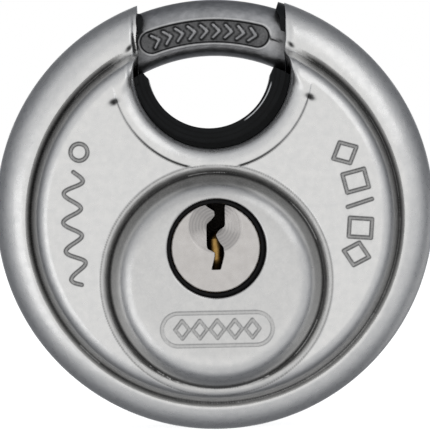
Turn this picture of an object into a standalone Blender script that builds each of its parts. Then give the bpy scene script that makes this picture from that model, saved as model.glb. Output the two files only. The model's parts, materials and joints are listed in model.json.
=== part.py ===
"""Disc padlock: two drawn steel shells round a curved shackle that the key turns.

Metres, +Z up, keyway towards -Y. The origin is the centre of the disc, on the plane where
the two shells meet. Angles round the disc are in degrees, clockwise from the top as seen
from the front, so a positive turn about +Y opens the lock.
"""

import math

import bmesh
import bpy
from mathutils import Vector

MM = 0.001

# The case: a rim that holds the shackle, a raised deck and a round boss for the lock.
DISC_R = 25.0 * MM
SHEET = 0.8 * MM
SEAM = 0.03 * MM  # each shell stops this short of the joint plane
RIM_R = 20.8 * MM  # centre of the rim's section
RIM_H = 4.9 * MM
DECK_Z = -0.85 * MM
DECK_R = 20.9 * MM
DECK_H = 8.4 * MM
BOSS_Z = -7.75 * MM
BOSS_R = 12.0 * MM
BOSS_H = 11.6 * MM
WALL_ANGLE = math.radians(65)
SHOULDER_R = 2.2 * MM
KEYHOLE_R = 5.5 * MM

# The throat that the hasp goes through, and the black liner in it.
THROAT_Z = 15.9 * MM
THROAT_R = 8.9 * MM
GAP_X = 8.4 * MM
FLARE_R = 2.0 * MM
LINER_X = -0.35 * MM
LINER_Z = 16.35 * MM
LINER_R = 7.0 * MM
LINER_SEAT_R = 10.2 * MM
LINER_H = 4.05 * MM
COLLAR_LEFT_X = -7.95 * MM
COLLAR_RIGHT_X = 7.45 * MM
COLLAR_INSET = 0.12 * MM  # the collars stop this far inside the rim's surface
COLLAR_GAP = 0.05 * MM  # and this far from the walls of the throat
COLLAR_FOOT_Z = LINER_Z - 1.9 * MM
LINER_MOUTH_Z = LINER_Z - 0.9 * MM  # above this the opening has straight sides

# The shackle: an arc of a ring, with a lug on the inside that the key's drive turns.
SHACKLE_R = 20.85 * MM
SHACKLE_HALF_W = 3.2 * MM
SHACKLE_HALF_H = 3.85 * MM
TOE_ANGLE = -38.0
HEEL_ANGLE = 84.0
OPENING_ANGLE = 70.0
LUG_START = 70.0
LUG_END = HEEL_ANGLE - 0.5
LUG_R = 15.7 * MM
LUG_OUTER_R = SHACKLE_R - 1.7 * MM
LUG_BOTTOM_Y = 1.0 * MM
LUG_TOP_Y = 4.4 * MM
PANEL_START = -23.2
PANEL_END = 18.7
PANEL_R = 20.35 * MM
PANEL_HALF_W = 1.35 * MM
PANEL_DEPTH = 0.35 * MM

# The inner frame that guides the shackle and carries the lock cylinder.
FRAME_R = 17.25 * MM
FRAME_H = 4.1 * MM
STOP_R = 22.7 * MM
STOP_HALF_H = 3.0 * MM
STOP_WIDTH = 6.0  # degrees
STOP_GAP = 3.0  # degrees from the end of the shackle

# The lock cylinder.
PLUG_Z = -4.05 * MM
PLUG_R = 4.9 * MM
PLUG_FRONT_Y = -11.25 * MM
PLUG_BACK_Y = 4.1 * MM
BORE_CLEARANCE = 0.06 * MM
HOUSING_Z = -7.45 * MM
HOUSING_R = 9.2 * MM
HOUSING_FRONT_Y = -10.2 * MM
HOUSING_BACK_Y = 4.05 * MM
EAR_X = 11.6 * MM
EAR_R = 2.2 * MM
EAR_FRONT_Y = -6.4 * MM
EAR_BACK_Y = -4.2 * MM
TAIL_R = 2.2 * MM
TAIL_FLAT_X = 0.72 * TAIL_R
TAIL_END_Y = 6.6 * MM
PLUG_WEB = 0.35 * MM  # metal left behind the keyway, and round tail left in front of its flat
GUIDE_Z = 2.42 * MM  # the countersink that leads the key in, above the plug's axis
GUIDE_R = 3.05 * MM
GUIDE_TIP_R = 1.0 * MM
GUIDE_ANGLE = math.radians(30)
WASHER_R = 5.7 * MM
WASHER_FRONT_Y = 4.17 * MM
WASHER_BACK_Y = 4.55 * MM

# The pin stacks, standing at the shear line as the right key sets them.
PIN_R = 1.1 * MM
PIN_CHAMFER = 0.2 * MM
PIN_TIP_R = 0.35 * MM
PIN_CONE = 0.8 * MM
PIN_STEPS = 16  # facets round a pin and its chamber
CHAMBER_R = 1.16 * MM
FIRST_PIN_Y = -8.3 * MM
PIN_PITCH = 2.65 * MM
KEY_PIN_TIPS = (1.75 * MM, 0.9 * MM, 1.4 * MM, 0.6 * MM, 1.1 * MM)  # above the plug's axis
PIN_HOLE_TOP = 2.15 * MM
SHEAR_GAP = 0.1 * MM
DRIVER_LENGTH = 3.2 * MM
CHAMBER_FLOOR_Z = -15.95 * MM
SPRING_R = 0.8 * MM
SPRING_WIRE_R = 0.13 * MM
SPRING_TURNS = 4
SPRING_STEPS = 8  # facets in each turn

# The drive: a pinion on the plug in an internal gear sector on the shackle, two to one.
PINION_TEETH = 12
SECTOR_TEETH = 24
MODULE = 2 * abs(PLUG_Z) / (SECTOR_TEETH - PINION_TEETH)
PRESSURE_ANGLE = math.radians(20)
BACKLASH = 0.06 * MM
SECTOR_START = 81.0
SECTOR_END = 202.0
FIRST_SPACE = 90.0
LAST_SPACE = 195.0
SECTOR_R = 11.6 * MM
ARM_R = 18.0 * MM
GEAR_FRONT_Y = 4.65 * MM
GEAR_BACK_Y = 6.05 * MM
STUD_R = 0.9 * MM
STUD_CIRCLE_R = 16.85 * MM
STUD_ANGLES = (73.1, 80.9)
STUD_HOLE_DEPTH = 2.9 * MM
STUD_HEAD_H = 0.5 * MM

# The screws that hold the cylinder's ears, and the one on the plug's tail.
EAR_SCREW_R = 0.9 * MM
EAR_SCREW_HEAD_R = 1.6 * MM
EAR_SCREW_LENGTH = 6.4 * MM
TAIL_SCREW_R = 0.8 * MM
TAIL_SCREW_HEAD_R = 2.6 * MM
TAIL_SCREW_LENGTH = 2.4 * MM
SCREW_HEAD_H = 0.75 * MM
SCREW_SLOT_HALF_W = 0.2 * MM
SCREW_CLEARANCE = 0.05 * MM

CHAMFER = 0.15 * MM
GAP = 0.1 * MM  # between touching pieces


def clear_scene():
    for obj in list(bpy.data.objects):
        bpy.data.objects.remove(obj, do_unlink=True)


def new_collection(name):
    collection = bpy.data.collections.new(name)
    bpy.context.scene.collection.children.link(collection)
    return collection


clear_scene()
PARTS = new_collection("disc_padlock")
CUTTERS = new_collection("cutters")


def make_material(name, colour, roughness, metallic):
    material = bpy.data.materials.new(name)
    material.use_nodes = True
    shader = material.node_tree.nodes["Principled BSDF"]
    shader.inputs["Base Color"].default_value = (*colour, 1.0)
    shader.inputs["Roughness"].default_value = roughness
    shader.inputs["Metallic"].default_value = metallic
    return material


STAINLESS = make_material("stainless_sheet", (0.62, 0.62, 0.62), 0.34, 1.0)
SHACKLE_STEEL = make_material("shackle_steel", (0.36, 0.36, 0.36), 0.38, 1.0)
BLACK_PLASTIC = make_material("black_plastic", (0.012, 0.013, 0.014), 0.35, 0.0)
BRASS = make_material("brass", (0.71, 0.49, 0.18), 0.32, 1.0)
NICKEL = make_material("nickel_plated_brass", (0.66, 0.62, 0.58), 0.3, 1.0)
ZINC = make_material("zinc_casting", (0.42, 0.43, 0.44), 0.5, 1.0)
SPRING_STEEL = make_material("spring_steel", (0.5, 0.5, 0.5), 0.3, 1.0)


def polar(radius, degrees):
    """(x, z) of a point round the disc, clockwise from the top."""
    angle = math.radians(degrees)
    return radius * math.sin(angle), radius * math.cos(angle)


def place(obj, material=None):
    """Puts an object in the model, or with no material among the cutters."""
    if material:
        PARTS.objects.link(obj)
        obj.data.materials.clear()
        obj.data.materials.append(material)
    else:
        CUTTERS.objects.link(obj)
        obj.hide_render = True
        obj.display_type = "WIRE"
    return obj


def boolean(obj, operation, *others):
    for other in others:
        modifier = obj.modifiers.new(f"{operation.lower()} {other.name}", "BOOLEAN")
        modifier.operation = operation
        modifier.solver = "EXACT"
        modifier.object = other
    return obj


def turned(name, profile, steps, material=None):
    """A solid turned about its own Z: profile is (radius, height) from the axis at the top,
    down the outer side, and back to the axis or to the first point of a ring."""
    mesh = bpy.data.meshes.new(name)
    ring = min(radius for radius, _ in profile) > 0
    count = len(profile)
    edges = [(i, i + 1) for i in range(count - 1)] + ([(count - 1, 0)] if ring else [])
    mesh.from_pydata([(radius, 0, height) for radius, height in profile], edges, [])
    obj = place(bpy.data.objects.new(name, mesh), material)
    screw = obj.modifiers.new("turn", "SCREW")
    screw.axis = "Z"
    screw.steps = screw.render_steps = steps
    screw.use_merge_vertices = True
    screw.merge_threshold = 0.00001
    screw.use_normal_calculate = not ring
    return obj


def mesh_of(source):
    """A mesh object made from a curve, with its caps welded on. The curve is removed."""
    bpy.context.scene.collection.objects.link(source)
    bpy.context.view_layer.update()
    graph = bpy.context.evaluated_depsgraph_get()
    mesh = bpy.data.meshes.new_from_object(source.evaluated_get(graph))
    made = bpy.data.objects.new(source.name + "_mesh", mesh)
    made.matrix_world = source.matrix_world
    name = source.name
    bpy.data.objects.remove(source, do_unlink=True)
    made.name = name
    shape = bmesh.new()
    shape.from_mesh(mesh)
    bmesh.ops.remove_doubles(shape, verts=shape.verts, dist=0.000001)
    bmesh.ops.recalc_face_normals(shape, faces=shape.faces)
    shape.to_mesh(mesh)
    shape.free()
    return made


def plate(name, outlines, thickness, material=None):
    """A flat plate on its own XY plane. Outlines after the first are holes in it."""
    curve = bpy.data.curves.new(name, "CURVE")
    curve.dimensions = "2D"
    curve.fill_mode = "BOTH"
    curve.extrude = thickness / 2
    for outline in outlines:
        spline = curve.splines.new("POLY")
        spline.points.add(len(outline) - 1)
        for point, (x, y) in zip(spline.points, outline):
            point.co = (x, y, 0, 1)
        spline.use_cyclic_u = True
    return place(mesh_of(bpy.data.objects.new(name, curve)), material)


def facing_front(obj, front_y, back_y=None):
    """Stands a plate or a turned piece up, its own Z towards the front. A plate is centred
    between the two depths, and a turned piece has its zero height at front_y."""
    obj.rotation_euler = (math.pi / 2, 0, 0)
    obj.location.y = front_y if back_y is None else (front_y + back_y) / 2
    return obj


def upright_plate(name, outlines, front_y, back_y, material=None):
    """A plate across the lock, its outlines in (x, z)."""
    return facing_front(plate(name, outlines, back_y - front_y, material), front_y, back_y)


def circle(radius, segments, x=0.0, z=0.0):
    turns = (math.tau * i / segments for i in range(segments))
    return [(x + radius * math.cos(t), z + radius * math.sin(t)) for t in turns]


def arc(radius, start, end, segments):
    """Points (x, z) along an arc round the disc's centre."""
    return [polar(radius, start + (end - start) * i / segments) for i in range(segments + 1)]


def ring_sector(inner, outer, start, end, segments):
    return arc(outer, start, end, segments) + arc(inner, end, start, segments)


def rod(name, radius, start, end, segments, material=None, tip_radius=None):
    """A round bar between two points, or a cone if tip_radius is given."""
    shape = bmesh.new()
    start, end = Vector(start), Vector(end)
    length = (end - start).length
    bmesh.ops.create_cone(
        shape,
        cap_ends=True,
        segments=segments,
        radius1=radius,
        radius2=radius if tip_radius is None else tip_radius,
        depth=length,
    )
    mesh = bpy.data.meshes.new(name)
    shape.to_mesh(mesh)
    shape.free()
    obj = place(bpy.data.objects.new(name, mesh), material)
    obj.rotation_mode = "QUATERNION"
    obj.rotation_quaternion = Vector((0, 0, 1)).rotation_difference(end - start)
    obj.location = (start + end) / 2
    return obj


def box(name, low, high, material=None):
    shape = bmesh.new()
    bmesh.ops.create_cube(shape, size=1.0)
    low, high = Vector(low), Vector(high)
    bmesh.ops.scale(shape, vec=high - low, verts=shape.verts)
    bmesh.ops.translate(shape, vec=(low + high) / 2, verts=shape.verts)
    mesh = bpy.data.meshes.new(name)
    shape.to_mesh(mesh)
    shape.free()
    return place(bpy.data.objects.new(name, mesh), material)


# ---- the two shells ----

OVERSHOOT = 3.0 * MM  # how far a cutter runs past what it cuts
CURVE_STEPS = 3  # facets in each rounded corner
MIN_STEP = 0.001 * MM
ROUND_STEPS = 40  # facets round the disc
BOSS_STEPS = 36


def drum_profile(base_r, base_h, top_h, foot_h, inset):
    """Half section of a drawn drum: flat top, round shoulder and sloping wall. inset moves
    the whole surface inwards, which gives the inside of the sheet."""
    slope = math.tan(WALL_ANGLE)
    centre_h = top_h - SHOULDER_R
    centre_r = base_r - (centre_h - base_h) / slope - SHOULDER_R / math.sin(WALL_ANGLE)
    radius = SHOULDER_R - inset
    points = [(0.0, top_h - inset)]
    for i in range(CURVE_STEPS + 1):
        turn = WALL_ANGLE * i / CURVE_STEPS
        points.append((centre_r + radius * math.sin(turn), centre_h + radius * math.cos(turn)))
    wall_r = base_r - inset / math.sin(WALL_ANGLE)
    points.append((wall_r + (base_h - foot_h) / slope, foot_h))
    points.append((0.0, foot_h))
    return points


def rim_profile(inset, foot_h):
    """Half section of the rounded rim, closed flat across the middle of the disc."""
    points = [(0.0, RIM_H - inset)]
    for i in range(CURVE_STEPS + 2):
        turn = math.pi / 2 * i / (CURVE_STEPS + 1)
        radius = RIM_R + (DISC_R - RIM_R - inset) * math.sin(turn)
        points.append((radius, (RIM_H - inset) * math.cos(turn)))
    points = [(radius, h) for radius, h in points if h > foot_h + MIN_STEP]
    return points + [(DISC_R - inset, foot_h), (0.0, foot_h)]


def flare_profile(half_width, inset, foot_h, top_h):
    """One side of the throat's rounded mouth, from the top down."""
    centre_w, centre_h = half_width + FLARE_R, DECK_H - FLARE_R
    radius = FLARE_R - inset
    points = [(centre_w, top_h)]
    for i in range(CURVE_STEPS + 1):
        turn = math.pi / 2 * (1 - i / CURVE_STEPS)
        points.append((centre_w - radius * math.cos(turn), centre_h + radius * math.sin(turn)))
    points.append((half_width + inset, foot_h))
    return points


def throat_cutters(half, inset, foot_h):
    """The round bottom of the throat and the straight gap above it."""
    top_h = BOSS_H + OVERSHOOT
    side = flare_profile(THROAT_R, inset, foot_h, top_h)
    round_part = turned(f"{half.name}_throat", [(0.0, top_h), *side, (0.0, foot_h)], BOSS_STEPS)
    round_part.location.y = THROAT_Z
    side = flare_profile(GAP_X, inset, foot_h, top_h)
    outline = side + [(-x, h) for x, h in reversed(side)]
    length = DISC_R + OVERSHOOT - THROAT_Z
    gap_part = plate(f"{half.name}_gap", [outline], length)
    gap_part.rotation_euler = (math.pi / 2, 0, 0)
    gap_part.location.y = THROAT_Z + length / 2
    for obj in (round_part, gap_part):
        obj.parent = half
    return round_part, gap_part


def make_shell(name, heading, with_keyhole):
    """One half of the case. Its own Z points out of the lock, away from the joint plane."""
    half = bpy.data.objects.new(f"{name}_half", None)
    CUTTERS.objects.link(half)
    half.rotation_euler = (math.pi / 2, 0, heading)

    def drum(label, centre_z, base_r, base_h, top_h, foot_h, inset, steps):
        obj = turned(f"{name}_{label}", drum_profile(base_r, base_h, top_h, foot_h, inset), steps)
        obj.location.y = centre_z
        obj.parent = half
        return obj

    deck_foot = RIM_H - 1.2 * MM
    boss_foot = DECK_H - 1.4 * MM
    deck_shape = (DECK_Z, DECK_R, RIM_H, DECK_H, deck_foot)
    boss_shape = (BOSS_Z, BOSS_R, DECK_H, BOSS_H, boss_foot)
    inner_deck = drum("deck_inside", *deck_shape, SHEET, ROUND_STEPS)
    inner_boss = drum("boss_inside", *boss_shape, SHEET, BOSS_STEPS)
    inner_rim = turned(f"{name}_rim_inside", rim_profile(SHEET, -OVERSHOOT), ROUND_STEPS)
    inner_rim.parent = half
    boolean(inner_deck, "UNION", inner_boss)
    boolean(inner_deck, "DIFFERENCE", *throat_cutters(half, SHEET, -OVERSHOOT))
    boolean(inner_deck, "UNION", inner_rim)

    shell = turned(name, rim_profile(0.0, SEAM), ROUND_STEPS, STAINLESS)
    shell.parent = half
    deck = drum("deck", *deck_shape, 0.0, ROUND_STEPS)
    boss = drum("boss", *boss_shape, 0.0, BOSS_STEPS)
    boolean(shell, "UNION", deck, boss)
    boolean(shell, "DIFFERENCE", *throat_cutters(half, 0.0, -OVERSHOOT), inner_deck)
    if with_keyhole:
        back, front = (0, PLUG_Z, DECK_H), (0, PLUG_Z, BOSS_H + OVERSHOOT)
        keyhole = rod(f"{name}_keyhole", KEYHOLE_R, back, front, BOSS_STEPS)
        keyhole.parent = half
        boolean(shell, "DIFFERENCE", keyhole)
    return shell


# ---- the shackle and what guides it ----

SECTION_POINTS = 18
SWEEP_STEP = 6.0  # degrees
INNER_POWER = 0.7  # below 1 is squarer than an ellipse


def shackle_section(clearance):
    """The shackle's section as (radius, y): oval outside, squarer on the inner side."""
    points = []
    for i in range(SECTION_POINTS):
        turn = math.tau * i / SECTION_POINTS
        out, up = math.cos(turn), math.sin(turn)
        power = 1.0 if out > 0 else INNER_POWER
        half_w, half_h = SHACKLE_HALF_W + clearance, SHACKLE_HALF_H + clearance
        across = math.copysign(abs(out) ** power, out) * half_w
        along = math.copysign(abs(up) ** power, up) * half_h
        points.append((SHACKLE_R + across, along))
    return points


def swept_arc(name, section, start, end, material=None):
    """A solid that a section makes as it swings about the disc's axis."""
    shape = bmesh.new()
    first = []
    for radius, y in section:
        x, z = polar(radius, start)
        first.append(shape.verts.new((x, y, z)))
    face = shape.faces.new(first)
    bmesh.ops.spin(
        shape,
        geom=[face, *face.edges, *face.verts],
        cent=(0, 0, 0),
        axis=(0, 1, 0),
        angle=math.radians(end - start),
        steps=max(1, round((end - start) / SWEEP_STEP)),
    )
    bmesh.ops.recalc_face_normals(shape, faces=shape.faces)
    mesh = bpy.data.meshes.new(name)
    shape.to_mesh(mesh)
    shape.free()
    return place(bpy.data.objects.new(name, mesh), material)


def slot_outline(radius, half_width, start, end, segments):
    """A curved slot with round ends, along an arc round the disc's centre."""
    end_angle = math.degrees(half_width / radius)
    start, end = start + end_angle, end - end_angle
    points = arc(radius + half_width, start, end, segments)
    for angle, first_turn in ((end, 0), (start, 180)):
        x, z = polar(radius, angle)
        for i in range(1, 6):
            dx, dz = polar(half_width, angle + first_turn + 30 * i)
            points.append((x + dx, z + dz))
        if angle == end:
            points += arc(radius - half_width, end, start, segments)
    return points


def make_shackle():
    shackle = swept_arc("shackle", shackle_section(0.0), TOE_ANGLE, HEEL_ANGLE, SHACKLE_STEEL)
    lug_outline = ring_sector(LUG_R, LUG_OUTER_R, LUG_START, LUG_END, 4)
    lug = upright_plate("shackle_lug", [lug_outline], LUG_BOTTOM_Y, LUG_TOP_Y)
    panel = upright_plate(
        "shackle_panel",
        [slot_outline(PANEL_R, PANEL_HALF_W, PANEL_START, PANEL_END, 10)],
        -SHACKLE_HALF_H - OVERSHOOT,
        -SHACKLE_HALF_H + PANEL_DEPTH,
    )
    boolean(shackle, "UNION", lug)
    boolean(shackle, "DIFFERENCE", panel, *stud_cutters("shackle"))
    return shackle


def stud_cutters(label):
    cutters = []
    for i, angle in enumerate(STUD_ANGLES, 1):
        x, z = polar(STUD_CIRCLE_R, angle)
        ends = (x, LUG_TOP_Y - STUD_HOLE_DEPTH, z), (x, GEAR_BACK_Y + OVERSHOOT, z)
        cutters.append(rod(f"{label}_stud_hole_{i}", STUD_R + BORE_CLEARANCE, *ends, 16))
    return cutters


def make_studs():
    foot, head = LUG_TOP_Y - STUD_HOLE_DEPTH + GAP, GEAR_BACK_Y + GAP
    top, head_r = head + STUD_HEAD_H, STUD_R + CHAMFER
    profile = [(0, foot), (STUD_R, foot), (STUD_R, head), (head_r, head)]
    profile += [(head_r, top - CHAMFER), (STUD_R, top), (0, top)]
    for i, angle in enumerate(STUD_ANGLES, 1):
        stud = turned(f"drive_stud_{i}", [(r, -y) for r, y in profile], 16, SPRING_STEEL)
        facing_front(stud, 0.0)
        stud.location.x, stud.location.z = polar(STUD_CIRCLE_R, angle)


def make_frame():
    """The casting inside the shackle's ring, with a stop for each end of the shackle."""
    frame = upright_plate("inner_frame", [circle(FRAME_R, 60)], -FRAME_H, FRAME_H, ZINC)
    toe_stop = TOE_ANGLE - STOP_GAP - STOP_WIDTH
    heel_stop = HEEL_ANGLE + OPENING_ANGLE + STOP_GAP
    stops = []
    for label, start in (("toe", toe_stop), ("heel", heel_stop)):
        outline = ring_sector(FRAME_R - MM, STOP_R, start, start + STOP_WIDTH, 2)
        stops.append(upright_plate(f"frame_{label}_stop", [outline], -STOP_HALF_H, STOP_HALF_H))
    bore_outline = circle(HOUSING_R + GAP, 48, 0, HOUSING_Z)
    bore = upright_plate("frame_bore", [bore_outline], -BOSS_H, BOSS_H)
    seat_outline = circle(LINER_SEAT_R + GAP, 40, 0, THROAT_Z)
    seat = upright_plate("frame_liner_seat", [seat_outline], -BOSS_H, BOSS_H)
    lug_path = ring_sector(
        LUG_R - 2 * GAP, FRAME_R + OVERSHOOT, LUG_START - 2, HEEL_ANGLE + OPENING_ANGLE + 1, 14
    )
    path = upright_plate("frame_lug_path", [lug_path], LUG_BOTTOM_Y - 2 * GAP, BOSS_H)
    boolean(frame, "UNION", *stops)
    boolean(frame, "DIFFERENCE", bore, seat, path, *screw_hole_cutters("frame"))
    return frame


def make_liner():
    """The black throat liner: a U between the shells, with a collar round each shackle hole."""
    seat = circle(LINER_SEAT_R, 40, 0, THROAT_Z)
    liner = upright_plate("throat_liner", [seat], -LINER_H, LINER_H, BLACK_PLASTIC)
    inner_ring = upright_plate("liner_limit", [circle(FRAME_R + GAP, 60)], -BOSS_H, BOSS_H)
    boolean(liner, "INTERSECT", inner_ring)
    body = turned("collar_body", rim_profile(COLLAR_INSET, 0.0)[:-1], 60)
    mirror = body.modifiers.new("both sides", "MIRROR")
    mirror.use_axis = (False, False, True)
    mirror.merge_threshold = 0.00001
    facing_front(body, 0.0)
    for label, low_x, high_x in (
        ("left", -GAP_X + COLLAR_GAP, COLLAR_LEFT_X),
        ("right", COLLAR_RIGHT_X, GAP_X - COLLAR_GAP),
    ):
        low = (low_x, -BOSS_H, COLLAR_FOOT_Z)
        high = (high_x, BOSS_H, DISC_R + OVERSHOOT)
        collar = box(f"collar_{label}", low, high)
        boolean(collar, "INTERSECT", body)
        boolean(liner, "UNION", collar)
    opening_outline = circle(LINER_R, 48, LINER_X, LINER_Z)
    opening = upright_plate("liner_opening", [opening_outline], -BOSS_H, BOSS_H)
    above = box(
        "liner_opening_top",
        (COLLAR_LEFT_X, -BOSS_H, LINER_MOUTH_Z),
        (COLLAR_RIGHT_X, BOSS_H, DISC_R + OVERSHOOT),
    )
    channel = swept_arc("liner_channel", shackle_section(0.12 * MM), -45, 45)
    boolean(liner, "DIFFERENCE", opening, above, channel)
    return liner


# ---- the lock cylinder ----

KEYWAY = [  # (x, z) from the plug's axis: wide at the top, with the wards' steps down each side
    (-1.45, 5.3),
    (-0.95, 4.65),
    (-0.1, 4.1),
    (-0.05, 3.6),
    (-0.45, 3.1),
    (-1.0, 2.65),
    (-1.0, -0.05),
    (-0.12, -0.5),
    (-0.12, -0.95),
    (-0.4, -2.0),
    (-0.5, -2.4),
    (0.5, -2.4),
    (0.65, -1.9),
    (0.95, -0.75),
    (0.9, 0.05),
    (0.45, 0.6),
    (0.05, 1.4),
    (0.35, 1.9),
    (1.1, 2.4),
    (1.1, 4.65),
    (1.45, 5.3),
]


def pin_ys():
    return [FIRST_PIN_Y + PIN_PITCH * i for i in range(len(KEY_PIN_TIPS))]


def chamber_cutters(label, low_z, high_z):
    return [
        rod(f"{label}_chamber_{i}", CHAMBER_R, (0, y, low_z), (0, y, high_z), PIN_STEPS)
        for i, y in enumerate(pin_ys(), 1)
    ]


def screw_hole_cutters(label):
    return [
        rod(
            f"{label}_screw_hole_{side:+d}",
            EAR_SCREW_R + SCREW_CLEARANCE,
            (side * EAR_X, -BOSS_H, HOUSING_Z),
            (side * EAR_X, EAR_FRONT_Y + EAR_SCREW_LENGTH + 0.6 * MM, HOUSING_Z),
            16,
        )
        for side in (-1, 1)
    ]


def make_housing():
    housing = rod(
        "cylinder_housing",
        HOUSING_R,
        (0, HOUSING_FRONT_Y, HOUSING_Z),
        (0, HOUSING_BACK_Y, HOUSING_Z),
        56,
        BRASS,
    )
    ear_outline = []
    for side, first in ((1, 0), (-1, 180)):
        for i in range(7):
            dx, dz = polar(EAR_R, first + 30 * i)
            ear_outline.append((side * EAR_X + dx, HOUSING_Z + dz))
    ears = upright_plate("housing_ears", [ear_outline], EAR_FRONT_Y, EAR_BACK_Y)
    bore_r = PLUG_R + BORE_CLEARANCE
    bore = rod("housing_bore", bore_r, (0, -BOSS_H, PLUG_Z), (0, BOSS_H, PLUG_Z), 48)
    low_z = HOUSING_Z - HOUSING_R - OVERSHOOT
    boolean(housing, "UNION", ears)
    boolean(housing, "DIFFERENCE", bore, *chamber_cutters("housing", low_z, PLUG_Z))
    boolean(housing, "DIFFERENCE", *screw_hole_cutters("housing"))
    return housing


def make_key_guide():
    front_y, back_y = PLUG_FRONT_Y - OVERSHOOT, PLUG_FRONT_Y
    back_y += (GUIDE_R - GUIDE_TIP_R) * math.tan(GUIDE_ANGLE)
    wide_r = GUIDE_R + OVERSHOOT / math.tan(GUIDE_ANGLE)
    ends = (0, front_y, PLUG_Z + GUIDE_Z), (0, back_y, PLUG_Z + GUIDE_Z)
    return rod("plug_key_guide", wide_r, *ends, 32, tip_radius=GUIDE_TIP_R)


def make_plug():
    front, back = (0, PLUG_FRONT_Y, PLUG_Z), (0, PLUG_BACK_Y, PLUG_Z)
    plug = rod("plug", PLUG_R, front, back, 48, NICKEL)
    tail_start = (0, PLUG_BACK_Y - MM, PLUG_Z)
    tail = rod("plug_tail", TAIL_R, tail_start, (0, TAIL_END_Y, PLUG_Z), 24)
    low = (TAIL_FLAT_X, PLUG_BACK_Y + PLUG_WEB, PLUG_Z - PLUG_R)
    flat = box("plug_tail_flat", low, (PLUG_R, TAIL_END_Y + MM, PLUG_Z + PLUG_R))
    keyway = [(x * MM, PLUG_Z + z * MM) for x, z in KEYWAY]
    slot = upright_plate("plug_keyway", [keyway], PLUG_FRONT_Y - MM, PLUG_BACK_Y - PLUG_WEB)
    screw_end = (0, TAIL_END_Y - TAIL_SCREW_LENGTH - 2 * GAP, PLUG_Z)
    screw_hole_r = TAIL_SCREW_R + SCREW_CLEARANCE
    screw_hole = rod("plug_screw_hole", screw_hole_r, screw_end, (0, BOSS_H, PLUG_Z), 16)
    low_z = PLUG_Z - PLUG_R - MM
    boolean(plug, "UNION", tail)
    boolean(plug, "DIFFERENCE", flat, slot, make_key_guide(), screw_hole)
    boolean(plug, "DIFFERENCE", *chamber_cutters("plug", low_z, PLUG_Z + PIN_HOLE_TOP))
    return plug


def make_pin_stacks():
    """Key pin, driver pin, spring and closing plug of each chamber, from the top down."""
    edge = PIN_R - PIN_CHAMFER
    for i, (y, tip) in enumerate(zip(pin_ys(), KEY_PIN_TIPS), 1):
        foot = -PLUG_R + SHEAR_GAP
        profile = [(0, tip), (PIN_TIP_R, tip), (PIN_R, tip - PIN_CONE)]
        profile += [(PIN_R, foot + PIN_CHAMFER), (edge, foot), (0, foot)]
        key_pin = turned(f"key_pin_{i}", profile, PIN_STEPS, BRASS)
        key_pin.location = (0, y, PLUG_Z)

        top = -PLUG_R - SHEAR_GAP
        foot = top - DRIVER_LENGTH
        profile = [(0, top), (edge, top), (PIN_R, top - PIN_CHAMFER)]
        profile += [(PIN_R, foot + PIN_CHAMFER), (edge, foot), (0, foot)]
        driver = turned(f"driver_pin_{i}", profile, PIN_STEPS, BRASS)
        driver.location = (0, y, PLUG_Z)

        make_spring(f"pin_spring_{i}", y, PLUG_Z + foot - GAP, CHAMBER_FLOOR_Z + GAP)
        low_z = HOUSING_Z - HOUSING_R + 0.15 * MM
        closing = (0, y, low_z), (0, y, CHAMBER_FLOOR_Z)
        rod(f"chamber_plug_{i}", PIN_R, *closing, PIN_STEPS, BRASS)


def make_spring(name, y, top_z, low_z):
    """A coil spring whose wire stays between the two heights."""
    curve = bpy.data.curves.new(name, "CURVE")
    curve.dimensions = "3D"
    curve.bevel_depth = SPRING_WIRE_R
    curve.bevel_resolution = 1
    curve.use_fill_caps = True
    spline = curve.splines.new("POLY")
    count = SPRING_TURNS * SPRING_STEPS + 1
    spline.points.add(count - 1)
    low_z, top_z = low_z + SPRING_WIRE_R, top_z - SPRING_WIRE_R
    for i, point in enumerate(spline.points):
        turn = math.tau * i / SPRING_STEPS
        z = low_z + (top_z - low_z) * i / (count - 1)
        point.co = (SPRING_R * math.cos(turn), y + SPRING_R * math.sin(turn), z, 1)
    return place(bpy.data.objects.new(name, curve), SPRING_STEEL)


def make_seal():
    """The black ring between the plug and the case: a lip in the keyhole and a flange behind."""
    inner, lip, flange = PLUG_R + 0.08 * MM, KEYHOLE_R - 0.07 * MM, KEYHOLE_R + 0.3 * MM
    front, step, back = 11.3 * MM, 10.7 * MM, 10.28 * MM
    profile = [(inner, front), (lip, front), (lip, step), (flange, step), (flange, back)]
    profile.append((inner, back))
    seal = facing_front(turned("keyway_seal", profile, BOSS_STEPS, BLACK_PLASTIC), 0.0)
    seal.location.z = PLUG_Z


def make_screw(name, x, z, head_y, head_r, shank_r, length, facing):
    """A slotted cheese-head screw. head_y is under the head, and facing the way it faces."""
    head_h = SCREW_HEAD_H
    profile = [(0, head_h), (head_r - CHAMFER, head_h), (head_r, head_h - CHAMFER), (head_r, 0)]
    profile += [(shank_r, 0), (shank_r, -length), (0, -length)]
    screw = turned(name, profile, 24, SPRING_STEEL)
    slot_low = (-2 * head_r, -SCREW_SLOT_HALF_W, head_h / 2)
    slot = box(f"{name}_slot", slot_low, (2 * head_r, SCREW_SLOT_HALF_W, 2 * head_h))
    for obj in (screw, slot):
        obj.rotation_euler = (math.pi / 2 * facing, 0, 0)
        obj.location = (x, head_y, z)
    return boolean(screw, "DIFFERENCE", slot)


def make_screws():
    for side, label in ((-1, "left"), (1, "right")):
        make_screw(
            f"housing_screw_{label}",
            side * EAR_X,
            HOUSING_Z,
            EAR_FRONT_Y - GAP,
            EAR_SCREW_HEAD_R,
            EAR_SCREW_R,
            EAR_SCREW_LENGTH,
            1,
        )
    make_screw(
        "tail_screw",
        0,
        PLUG_Z,
        TAIL_END_Y + GAP,
        TAIL_SCREW_HEAD_R,
        TAIL_SCREW_R,
        TAIL_SCREW_LENGTH,
        -1,
    )


# ---- the drive ----


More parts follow.
